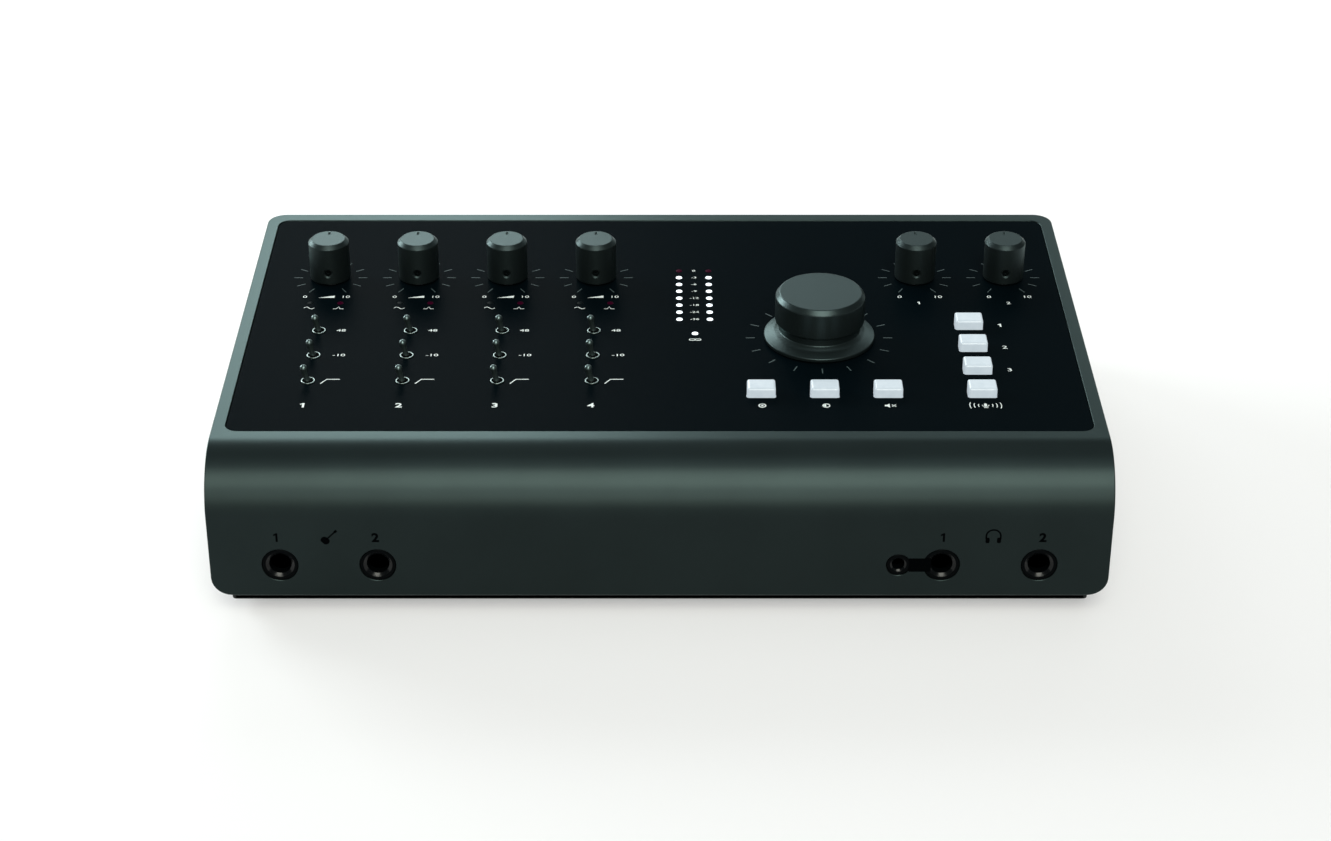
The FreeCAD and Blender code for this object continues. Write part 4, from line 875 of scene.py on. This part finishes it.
def combo_sockets():
    """Microphone sockets: a double-walled cup round a deep gap, an insert with three lined holes and
    the middle bore, a release tab at the top, and the block behind the panel."""
    form = Form()
    turned(form, [
        (COMBO_RADIUS, -2.5), (COMBO_RADIUS, 0, 0.4), (9.6, 0, 0.3), (9.6, -15.0), (0, -15.0),
    ], steps=96)
    turned(form, [(COMBO_RADIUS, -2.5), (9.9, -2.5), (9.9, -15.3), (0, -15.3)], steps=96)
    holes = [ring(x, y, 1.2, 24) for x, y in contact_spots()] + [ring(0, 0, 3.25)]
    plate(form, ring(0, 0, 7.9, 72), holes, 15, 0.25, flat())
    slab(form, rounded(0, 0, 26.6, 29, 2, 4), 24, 0.3, -2.5, 2, [ring(0, 0, 9.95, 96)])
    slab(form, rounded(0, 10.8, 6.4, 1.5, 0.5, 4), 1.0, 0.2, 0.45)
    for step in (-1.6, 0, 1.6):
        slab(form, rounded(step, 10.8, 0.5, 0.9, 0.2, 3), 0.3, 0.08, 0.62, 2)
    places = [(x, REAR + 1, COMBO_Z) for x in CHANNELS]
    form.copies(places, "back").made("combo_sockets", SOCKET, "connector_black", ["combo_inputs"])
    lining = Form()
    for x, y in contact_spots():
        turned(lining, [
            (0, -6), (1.16, -6), (1.16, -0.6, 0.1), (0.82, -0.6, 0.1), (0.82, -5), (0, -5),
        ], x, y, steps=24)
    turned(lining, [
        (3.22, -7), (3.22, -1.2, 0.08), (3.05, -1.2, 0.08), (3.05, -7), (3.22, -7),
    ], steps=40)
    lining.copies(places, "back").made("combo_contacts", PORT, "port_steel")


def optical_sockets():
    """Square sockets with a soft frame, a stepped port and a small lens at its floor."""
    form, lens = Form(), Form()
    frame_out, port = rounded(0, 0, 9.8, 9.8, 0.5, 4), rounded(0, 0, 6.6, 6.6, 0.45, 4)
    plate(form, frame_out, [port], 9, 0.25, flat())
    slab(form, frame_out, 4.8, 0.2, -9, 2)
    for hand in (-1, 1):
        slab(form, rounded(2.9 * hand, -0.6, 0.7, 3.4, 0.15, 3), 7, 0.12, -1.6, 2)
    turned(form, [
        (0, -9.02), (2.2, -9.02), (2.2, -6.5, 0.2), (1.2, -6.5, 0.15), (1.2, -8.5), (0, -8.5),
    ], steps=40)
    dome = [(1.1 * math.cos(a), -7.8 + 0.7 * math.sin(a)) for a in np.linspace(0, math.pi / 2, 6)]
    turned(lens, [(0, -8.5), (1.1, -8.5)] + dome, steps=28)
    places = [(x, REAR + 0.5, OPTICAL_Z) for x in OPTICALS]
    form.copies(places, "back").made("optical_sockets", SOCKET, "connector_black", ["optical_ports"])
    lens.copies(places, "back").made("optical_lenses", LAMP_RED, "lamp_white")


def usb_socket():
    """Drawn metal mouth with full-round ends, and the tongue with its row of contacts."""
    metal, tongue, pads = Form(), Form(), Form()
    outer, inner = rounded(0, 0, 8.94, 3.26, 1.62, 8), rounded(0, 0, 8.34, 2.66, 1.32, 8)
    slab(metal, outer, 6, 0.08, 0, 3, [inner])
    slab(metal, outer, 1.4, 0.08, -5.98, 2)
    slab(tongue, rounded(0, 0, 6.74, 0.7, 0.2, 3), 5.2, 0.1, -0.8, 2)
    for side in (-1, 1):
        for step in np.arange(-2.75, 2.76, 0.5):
            slab(pads, rounded(step, 0.33 * side, 0.26, 0.09, 0.02, 1), 3.2, 0.02, -1.1, 1)
    place = [(USB_X, REAR + 0.3, USB_Z)]
    metal.copies(place, "back").made("usb_mouth", PORT, "port_steel", ["usb_c_port"])
    tongue.copies(place, "back").made("usb_tongue", SOCKET, "connector_black")
    pads.copies(place, "back").made("usb_contacts", BRASS, "port_steel")


def round_case(radius, bore, depth):
    """Round mouth of a blind bore, on the block behind the panel."""
    form = Form()
    turned(form, [
        (radius, -1.8), (radius, 0, 0.25), (bore, 0, 0.2), (bore, -depth), (0, -depth),
    ], steps=56)
    turned(form, [(radius, -1.8), (0, -1.8 - 0.001)], steps=56)
    slab(form, rounded(0, 0, 9.2, 9.2, 0.4, 3), 14, 0.2, -1.8, 2)
    return form


def power_parts():
    """Round inlet with its pin, and the round button in its collar."""
    inlet, collar, pin, button = round_case(3.85, 2.85, 9.5), round_case(3.6, 2.7, 10), Form(), Form()
    turned(pin, [(0, -9.6), (1, -9.6), (1, -0.9, 0.5), (0, -0.9)], steps=28)
    turned(button, [(0, -7), (2.6, -7), (2.6, 3, 0.55), (1.6, 2.98, 0.3), (0, 2.82)], steps=56)
    for form, x, made in (
        (inlet, POWER_X, ("power_socket", SOCKET, "connector_black", ["power_inlet"])),
        (pin, POWER_X, ("power_pin", PORT, "port_steel")),
        (collar, SWITCH_X, ("power_collar", SOCKET, "connector_black", ["power_switch_housing"])),
        (button, SWITCH_X, ("power_cap", HOUSING, "housing_grey", ["power_button"], "power_button")),
    ):
        form.copies([(x, REAR + 0.3, POWER_Z)], "back").made(*made)


# Case


def side_cheeks():
    """Upright plates cut to the inside of the nose, with a flange under the top."""
    nose = NOSE - WALL - GAP
    arc = np.array([FRONT + NOSE, TOP - NOSE]) + nose * compass(np.linspace(math.pi, math.pi / 2, 16))
    outline = np.concatenate([
        [(FRONT + WALL + GAP, SKIRT), (CHEEK_BACK, SKIRT), (CHEEK_BACK, UNDER), (FRONT + NOSE, UNDER)],
        arc[::-1],
    ])
    for name, hand, towards in (("left", -1, "left"), ("right", 1, "right")):
        line = outline * np.array([hand, 1])
        holes = [ring(y * hand, z, 1.35, 24) for y, z in CHEEK_SCREWS]
        form = Form()
        plate(form, grown(line[::hand]), holes, SHEET, 0.2, flat(towards, (CHEEK * hand, 0, 0)))
        slab(form, rounded(125.0 * hand, 0.1, 8, 134.3, 0.3, 3), SHEET, 0.15, UNDER, 2)
        form.made(f"cheek_{name}", CHASSIS, "chassis_black", [f"side_panel_{name}"])


def tray():
    """Slotted floor with a lip round its front and sides: the lip is a strip that follows the floor's
    outline, square in section with soft edges."""
    form = Form()
    middle, deep = (TRAY_FRONT + REAR) / 2, REAR - TRAY_FRONT
    vents = [rounded(50 * hand, 6 * row, 36, 2.4, 1.19, 5) for hand in (-1, 1) for row in range(-4, 5)]
    outline = rounded(0, middle, TRAY_SIDE * 2, deep, TRAY_CORNER)
    slab(form, outline, SHEET, 0.25, TRAY_LOW + SHEET, 3, vents)
    bend = TRAY_CORNER
    angle = np.linspace(0, -math.pi / 2, 9)
    corner = np.array([TRAY_SIDE - bend, TRAY_FRONT + bend]) + bend * compass(angle)
    back = 66.05
    path = np.concatenate([[(TRAY_SIDE, back)], corner, (corner * (-1, 1))[::-1], [(-TRAY_SIDE, back)]])
    inward = np.concatenate([[(-1, 0)], -compass(angle), (compass(angle) * (1, -1))[::-1], [(1, 0)]])
    low = TRAY_LOW + 0.4
    section = contour([(0, low), (0, TRAY_HIGH, 0.25), (SHEET, TRAY_HIGH, 0.25), (SHEET, low)])
    rails = path[None] + section[:, :1, None] * inward[None]
    strip = stacked(rails, section[:, 1])
    form.grid(np.concatenate([strip, strip[:1]]))
    for end in (0, -1):
        form.fan(strip[:, end], strip[:, end].mean(0))
    form.made("tray", CHASSIS, "chassis_black", ["base_tray"])


def back_plate():
    """Rear plate with its holes, and the two flanges that the cheeks are screwed to."""
    low = TRAY_LOW + SHEET
    high, middle = UNDER - low, (UNDER + low) / 2
    holes = [ring(-x, COMBO_Z, COMBO_RADIUS + 0.1, 96) for x in CHANNELS]
    holes += [ring(off - x, COMBO_Z - off, 1.35, 24) for x, off in COMBO_SCREWS]
    holes += [ring(-x, JACK_Z, JACK_NOSE + 0.1, 56) for x in LINE_OUTS]
    holes += [rounded(-x, OPTICAL_Z, 10, 10, 0.4, 3) for x in OPTICALS]
    holes.append(rounded(-USB_X, USB_Z, 9.14, 3.46, 1.72, 8))
    holes += [ring(-POWER_X, POWER_Z, 3.95, 48), ring(-SWITCH_X, POWER_Z, 3.7, 48)]
    form = Form()
    outer = rounded(0, middle, TRAY_SIDE * 2, high, 0.4, 3)
    plate(form, outer, holes, SHEET, 0.18, flat("back", (0, REAR, 0)))
    for hand, towards in ((-1, "left"), (1, "right")):
        flange = rounded(72.25 * hand, middle, 10, high, 0.3, 3)
        plate(form, flange, [], SHEET, 0.15, flat(towards, (TRAY_SIDE * hand, 0, 0)), steps=2)
    form.made("back_plate", CHASSIS, "chassis_black", ["rear_panel"])


def feet():
    """Turned rubber feet: soft shoulder, bevelled edge and two grooves in the tread."""
    form = Form()
    turned(form, [
        (0, 3), (9, 3), (9, 0.8, 0.3), (8.2, 0, 0.3), (6.6, 0), (6.4, 0.5, 0.1), (5.9, 0.5, 0.1),
        (5.7, 0), (4.1, 0), (3.9, 0.5, 0.1), (3.4, 0.5, 0.1), (3.2, 0), (0, 0),
    ], steps=72)
    form.copies([(x, y, 0) for x, y in FEET]).made("feet", RUBBER, "foot_rubber", ["rubber_feet"])


def screw_form(radius, high, shank):
    """Pan head whose shoulder runs up in a quarter ellipse to a flat with a six-sided socket."""
    form = Form()
    angle, flat_out = np.linspace(0, math.pi / 2, 7), radius * 0.62
    bulge = radius - flat_out
    dome = [(flat_out + bulge * math.cos(a), high * (0.35 + 0.65 * math.sin(a))) for a in angle]
    turned(form, [(0, -shank), (1.25, -shank), (1.25, 0), (radius, 0), *dome], steps=36)
    socket = radius * 0.42 * compass(np.arange(6) * math.pi / 3)
    cover(form, [ring(0, 0, flat_out, 36)(0), socket], [high])
    deep = high * 0.35
    loops = stacked([socket, socket], (high, deep))
    form.grid(loops, wrap=True)
    form.fan(loops[1], (0, 0, deep))
    return form


def screws():
    """Screws in the cheeks, beside the microphone sockets, and on both boards."""
    wide, small = screw_form(2.5, 1.3, 3.8), screw_form(2.1, 1.3, 8)
    form = Form()
    for screw, towards, places in (
        (wide, "left", [(-CHEEK, y, z) for y, z in CHEEK_SCREWS]),
        (wide, "right", [(CHEEK, y, z) for y, z in CHEEK_SCREWS]),
        (small, "back", [(x + off, REAR, COMBO_Z + off) for x, off in COMBO_SCREWS]),
        (wide, "up", [(x, y, MAIN_SCREW_Z) for x, y in MAIN_SCREWS]),
        (wide, "down", [(x, y, CONTROL_SCREW_Z) for x, y in CONTROL_SCREWS]),
    ):
        form.add(*screw.copies(places, towards).whole())
    form.made("screws", STEEL, "screw_steel", ["case_screws"])


# Print


on_panel = flat("up", (0, 0, PANEL))
on_front = flat("front", (0, FRONT + SKIN, 0))
on_back = flat("back", (0, REAR, 0))


def stroke(line, wide):
    """The outline of a line of even width: each point moved to both sides along the mean normal."""
    line = np.asarray(line, float)
    ahead = np.roll(line, -1, axis=0) - line
    behind = line - np.roll(line, 1, axis=0)
    ahead[-1], behind[0] = behind[-1], ahead[0]
    unit = ahead / np.linalg.norm(ahead, axis=1)[:, None] + behind / np.linalg.norm(behind, axis=1)[:, None]
    unit /= np.linalg.norm(unit, axis=1)[:, None]
    side = np.stack([-unit[:, 1], unit[:, 0]], -1) * wide / 2
    return np.concatenate([line + side, (line - side)[::-1]])


def bow(x, y, radius, start, end, steps=24):
    """Points along an arc, in degrees."""
    return np.array([x, y]) + radius * compass(np.radians(np.linspace(start, end, steps)))


# Height of the built-in font's numbers, and a lone one drawn in its place
FONT_HIGH = 0.73
ONE = np.array([
    (0.16, -0.5), (0.16, 0.5), (0.02, 0.5), (-0.24, 0.33), (-0.24, 0.15), (-0.04, 0.26), (-0.04, -0.5),
])[::-1]


class Print(Form):
    """Ink on one face of the case."""

    def __init__(self, bend):
        super().__init__()
        self.bend = bend

    def mark(self, *loops):
        """Ink between loops: a thin upright wall round each, with a flat top and underside."""
        levels = (0, -INK)
        for loop in loops:
            self.grid(self.bend(stacked([loop, loop], levels)), wrap=True)
        cover(self, loops, levels, self.bend)

    def line(self, points, wide):
        self.mark(stroke(points, wide))

    def disc(self, x, y, *radii, steps=32):
        """A disc, or the ring between two radii."""
        self.mark(*[ring(x, y, radius, steps)(0) for radius in radii])

    def number(self, text, x, y, height, stretch, weight=0.0):
        """Plain numbers from the built-in font, scaled to a height and centred on their place. A lone
        one is drawn with a flag."""
        scale, place = np.array([stretch, 1.0]), np.array([x, y])
        if text == "1":
            self.mark(ONE * height * scale + place)
            return
        curve = bpy.data.curves.new("number", "FONT")
        curve.body, curve.extrude, curve.offset, curve.resolution_u = text, 0.01, weight, 4
        item = placed("number", curve)
        bpy.context.view_layer.update()
        mesh = bpy.data.meshes.new_from_object(item.evaluated_get(bpy.context.evaluated_depsgraph_get()))
        mesh.calc_loop_triangles()
        points = np.array([tuple(corner.co) for corner in mesh.vertices])
        threes = np.array([tuple(three.vertices) for three in mesh.loop_triangles])
        middle = (points.min(0) + points.max(0)) / 2
        laid = (points[:, :2] - middle[:2]) * (height / FONT_HIGH) * scale + place
        lift = np.where(points[:, 2] > 0, -INK, 0.0)
        self.add(self.bend(np.column_stack([laid, lift])), threes)
        bpy.data.objects.remove(item)
        bpy.data.curves.remove(curve)
        bpy.data.meshes.remove(mesh)


def ticks(ink, x, y, near, far, angles, wide):
    """Short bars that point at a centre, at angles clockwise from the back."""
    for angle in np.radians(angles):
        way = np.array([math.sin(angle), math.cos(angle)])
        ink.line([np.array([x, y]) + way * near, np.array([x, y]) + way * far], wide)


def panel_print():
    """Numbers and simple signs beside the controls."""
    grey, white = Print(on_panel), Print(on_panel)
    for x in CHANNELS + PHONES:
        ticks(grey, x, KNOB_Y, 9.1, 12.0, np.arange(-150, 151, 30), 0.28)
    ticks(grey, *DIAL, 20.3, 23.2, np.arange(16) * 22.5, 0.34)
    grey.made("scale_marks", INK_GREY, "fascia_black")
    for i, x in enumerate(CHANNELS, start=1):
        white.number("0", x - 7.0, SCALE_ROW, 1.5, 1.45)
        white.number("10", x + 6.4, SCALE_ROW, 1.5, 1.45)
        channel_signs(white, x)
        white.number("48", x + 7.0, TOGGLES["top"] + 0.3, 1.5, 1.5)
        white.number("-10", x + 7.9, TOGGLES["mid"] + 0.3, 1.5, 1.5)
        low, high = TOGGLES["low"] - 1.65, TOGGLES["low"] + 1.05
        white.line([(x + 4.0, low), (x + 5.7, high), (x + 9.7, high)], 0.34)
        white.number(str(i), x, CHANNEL_ROW, 2.6, 1.25, 0.018)
    for i, x in enumerate(PHONES, start=1):
        white.number("0", x - 5.9, SCALE_ROW, 1.6, 1.4)
        white.number("10", x + 6.7, SCALE_ROW, 1.6, 1.4)
        white.number(str(i), x, PHONE_ROW, 1.6, 1.4)
    for y, text in zip(METER_YS[::-1], ("0", "-3", "-6", "-9", "-12", "-18", "-24", "-36")):
        white.number(text, METER_X, y, 1.2, 1.4)
    link_sign(white, METER_X, LINK_ROW)
    button_signs(white, BUTTON_ROW)
    white.made("panel_numbers", INK_WHITE, "fascia_black")


def channel_signs(ink, x):
    """A wedge that widens to the right, one wave, and a low line with one sharp peak."""
    y = SCALE_ROW
    ink.mark(np.array([(x - 2.6, y - 0.7), (x + 2.6, y - 0.7), (x + 2.6, y + 0.75)]))
    y, wave, peak = SIGN_ROW, x - CHANNEL_LAMP_HALF, x + CHANNEL_LAMP_HALF - 0.3
    t = np.linspace(0, 1, 25)
    ink.line(np.stack([wave - 1.7 + 3.4 * t, y + 0.62 * np.sin(2 * math.pi * t)], -1), 0.24)
    corners = ((-1.7, -0.6), (-0.6, -0.6), (0, 0.8), (0.6, -0.6), (1.7, -0.6))
    ink.line([(peak + across, y + up) for across, up in corners], 0.24)


def link_sign(ink, x, y):
    """Two linked rings drawn out sideways."""
    for hand in (-1, 1):
        outer = rounded(x + 0.85 * hand, y, 2.2, 1.25, 0.6, 5)
        ink.mark(outer(0), outer(-0.28))


def button_signs(ink, y):
    """A dot in a ring, a half-filled ring, a struck-out speaker, a microphone, and three numbers."""
    x = ROW_BUTTONS[0][0] + 0.1
    ink.disc(x, y, 1.2, 0.82)
    ink.disc(x, y, 0.4, steps=20)
    x = ROW_BUTTONS[1][0] + 0.1
    ink.disc(x, y, 1.2, 0.86)
    ink.mark(bow(x - 0.05, y, 0.7, 90, 270))
    x = ROW_BUTTONS[2][0]
    ink.mark(np.array([
        (x - 1.6, y - 0.45), (x - 0.9, y - 0.45), (x - 0.05, y - 1.2), (x - 0.05, y + 1.2),
        (x - 0.9, y + 0.45), (x - 1.6, y + 0.45),
    ]))
    for hand in (-1, 1):
        ink.line([(x + 0.6, y - 0.6 * hand), (x + 1.8, y + 0.6 * hand)], 0.3)
    microphone(ink, COLUMN_BUTTONS[0][0] + 0.3, y)
    for number, (_, y) in enumerate(reversed(COLUMN_BUTTONS[1:]), start=1):
        ink.number(str(number), 108.5, y - 0.4, 1.9, 1.4)


def microphone(ink, x, y):
    """Capsule, cradle and foot, between two sets of sound arcs."""
    ink.mark(rounded(x, y + 0.45, 0.9, 1.7, 0.44, 5)(0))
    ink.line(bow(x, y + 0.35, 1.0, 180, 360), 0.24)
    ink.line([(x, y - 0.6), (x, y - 1.2)], 0.24)
    ink.line([(x - 0.7, y - 1.25), (x + 0.7, y - 1.25)], 0.24)
    for start, end in ((158, 202), (-22, 22)):
        for step in range(3):
            ink.line(bow(x, y + 0.1, 2.2 + step * 1.3, start, end, 12), 0.26)


def front_print():
    """Black numbers and signs over the front sockets, and the bar that pairs two of them."""
    black = Print(on_front)
    for text, x in (("1", -113.6), ("2", -84.2), ("1", 83.9), ("2", 113.4)):
        black.number(text, x, TOP - 24.0, 3.0, 1.05, 0.04)
    headphones(black, 98.75, TOP - 23.5)
    instrument(black, -98.0, TOP - 24.0)
    black.mark(rounded((MINI_X + FRONT_JACKS[2]) / 2, JACK_Z, 6.6, 4.7, 0.1, 2)(0))
    black.made("front_numbers", INK_BLACK, "fascia_black")


def back_print():
    """Numbers over the rear sockets, and arrows for what goes in and what comes out."""
    white = Print(on_back)
    for i, x in enumerate(CHANNELS, start=1):
        white.number(str(i), -x, 44.2, 3.2, 1.1, 0.02)
        arrow(white, -x - 5.5, 44.2, -1)
    for i, x in enumerate(reversed(LINE_OUTS), start=1):
        white.number(str(i), -x, 30.6, 2.8, 1.1, 0.02)
        arrow(white, -x - 5.0, 30.6, 1)
    for x, way in zip(OPTICALS, (1, -1)):
        arrow(white, -x, 27.0, way)
    low = POWER_Z + 8.6
    white.disc(-POWER_X, low, 1.35, 1.0)
    white.disc(-POWER_X, low, 0.45, steps=20)
    white.line(bow(-SWITCH_X, low, 1.25, 125, 415, 30), 0.36)
    white.line([(-SWITCH_X, low + 0.2), (-SWITCH_X, low + 1.9)], 0.36)
    white.made("back_numbers", INK_WHITE, "chassis_black")


def arrow(ink, x, y, way):
    """A three-cornered arrow that points up for out and down for in."""
    ink.mark(np.array([(-1.3, -0.9), (1.3, -0.9), (0, 1.2)]) * (way, way) + (x, y))


def headphones(ink, x, y):
    """A band over two ear pads."""
    band = np.concatenate([[(x + 2.15, y - 1.0)], bow(x, y, 2.15, 0, 180, 36), [(x - 2.15, y - 1.0)]])
    ink.line(band, 0.5)
    for hand in (-1, 1):
        ink.mark(rounded(x + 1.7 * hand, y - 1.5, 1.2, 1.9, 0.45, 4)(0))


def instrument(ink, x, y):
    """A small guitar, leaning right: two round bouts, a neck and a head."""
    lean = math.radians(45)
    spin = np.array([[math.cos(lean), -math.sin(lean)], [math.sin(lean), math.cos(lean)]])
    angle = np.linspace(0, 2 * math.pi, 40, endpoint=False)
    waist = 1.0 + 0.24 * np.cos(2 * angle) + 0.10 * np.sin(angle)
    body = np.stack([1.12 * waist * np.cos(angle), 1.45 * waist * np.sin(angle)], -1) + (0, -1.6)
    neck, head = rounded(0, 1.2, 0.46, 4.2, 0.1, 2)(0), rounded(0, 3.0, 0.78, 0.95, 0.15, 2)(0)
    for shape in (body, neck, head):
        ink.mark(shape @ spin + (x, y))


# Room


def floor():
    """Pale floor. To the camera and in reflections it is lifted to white, and keeps its shadows."""
    form = Form()
    t = np.linspace(-6000, 6000, 13)
    across, along = np.meshgrid(t, t)
    form.grid(np.stack([across, along, 0 * along], -1))
    finish = Finish("floor_pale")
    kinds = ("Camera", "Glossy", "Transmission")
    seen, glossy, through = [finish.node("ShaderNodeLightPath", output=f"Is {kind} Ray") for kind in kinds]
    shown = seen.most(glossy).most(through)
    diffuse = finish.node("ShaderNodeBsdfDiffuse", sockets={"Color": (0.48, 0.475, 0.485, 1)})
    glow = finish.node("ShaderNodeEmission", sockets={"Color": (1, 1, 1, 1), "Strength": 0.36 * shown})
    both = finish.node("ShaderNodeAddShader", sockets={0: diffuse, 1: glow})
    out = [node for node in finish.tree.nodes if node.type == "OUTPUT_MATERIAL"][0]
    finish.tree.links.new(both.socket, out.inputs["Surface"])
    mesh = bpy.data.meshes.new("floor")
    points, faces = form.whole()
    mesh.from_pydata((points * MM).tolist(), [], faces.tolist())
    mesh.materials.append(finish.material)
    placed("floor", mesh)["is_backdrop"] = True


COOL, WARM = (0.93, 1.0, 1.0), (1.0, 1.0, 0.88)


def soft_box(name, place, wide, tall, power):
    """An area lamp that faces the object."""
    light = bpy.data.lights.new(name, "AREA")
    light.shape = "RECTANGLE"
    light.size, light.size_y, light.energy, light.color = wide, tall, power, COOL
    item = placed(name, light)
    item.location = place
    item.rotation_euler = (Vector((0, 0, 0.05)) - Vector(place)).to_track_quat("-Z", "Y").to_euler()


def soft_sun(name, tilt, breadth, energy, tone):
    """A broad far light, this many degrees from overhead towards the front."""
    sun = bpy.data.lights.new(name, "SUN")
    sun.energy, sun.angle, sun.color = energy, math.radians(breadth), tone
    placed(name, sun).rotation_euler = (math.radians(tilt), math.radians(3), 0)


BOXES = (
    ("far_left", (-0.80, 0.50, 0.34), 0.50, 0.30, 8.1),
    ("back_left", (-0.52, 0.60, 0.42), 0.40, 0.34, 0.5),
    ("back_middle", (-0.20, 0.70, 0.45), 0.34, 0.32, 2.3),
    ("back_right", (0.08, 0.75, 0.45), 0.30, 0.30, 0.33),
    ("far_right", (0.40, 0.70, 0.42), 0.36, 0.30, 0.5),
)
SUNS = (
    ("behind", -15, 50, 0.38, COOL),
    ("overhead", 20, 40, 0.44, COOL),
    ("high_front", 40, 36, 1.9, WARM),
    ("front", 60, 36, 0.85, (0.97, 1.0, 0.93)),
    ("low_front", 78, 26, 0.55, WARM),
)


def room():
    scene = bpy.context.scene
    scene.view_settings.view_transform = "Standard"
    world = bpy.data.worlds.new("studio")
    world.use_nodes = True
    world.node_tree.nodes["Background"].inputs["Color"].default_value = (*COOL, 1)
    world.node_tree.nodes["Background"].inputs["Strength"].default_value = 0.15
    scene.world = world
    for box in BOXES:
        soft_box(*box)
    for sun in SUNS:
        soft_sun(*sun)


# Focal length, width and shift of the picture, in its pixels
FOCAL, PICTURE_WIDE, SHIFT = 2806.5, 1331, (5.75, -0.2)


def camera():
    """Straight on from the front, looking 30 degrees down."""
    view = bpy.data.cameras.new("view")
    view.sensor_width = 36
    view.lens = FOCAL / PICTURE_WIDE * view.sensor_width
    view.shift_x, view.shift_y = SHIFT[0] / PICTURE_WIDE, SHIFT[1] / PICTURE_WIDE
    item = placed("view", view)
    item.location = (0, -0.78648, 0.47322)
    item.rotation_euler = (math.radians(60), 0, 0)
    bpy.context.scene.camera = item


for make in (
    camera, dress_nodes, wrap_shell, top_fascia, small_knobs, dial, toggles, buttons, lamps,
    phone_sockets, combo_sockets, optical_sockets, usb_socket, power_parts, side_cheeks, tray,
    back_plate, feet, screws, panel_print, front_print, back_print, floor, room,
):
    make()

boxes = {"cad": cad_box, "seen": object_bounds()}
{key: [list(corner) for corner in box] for key, box in boxes.items()}
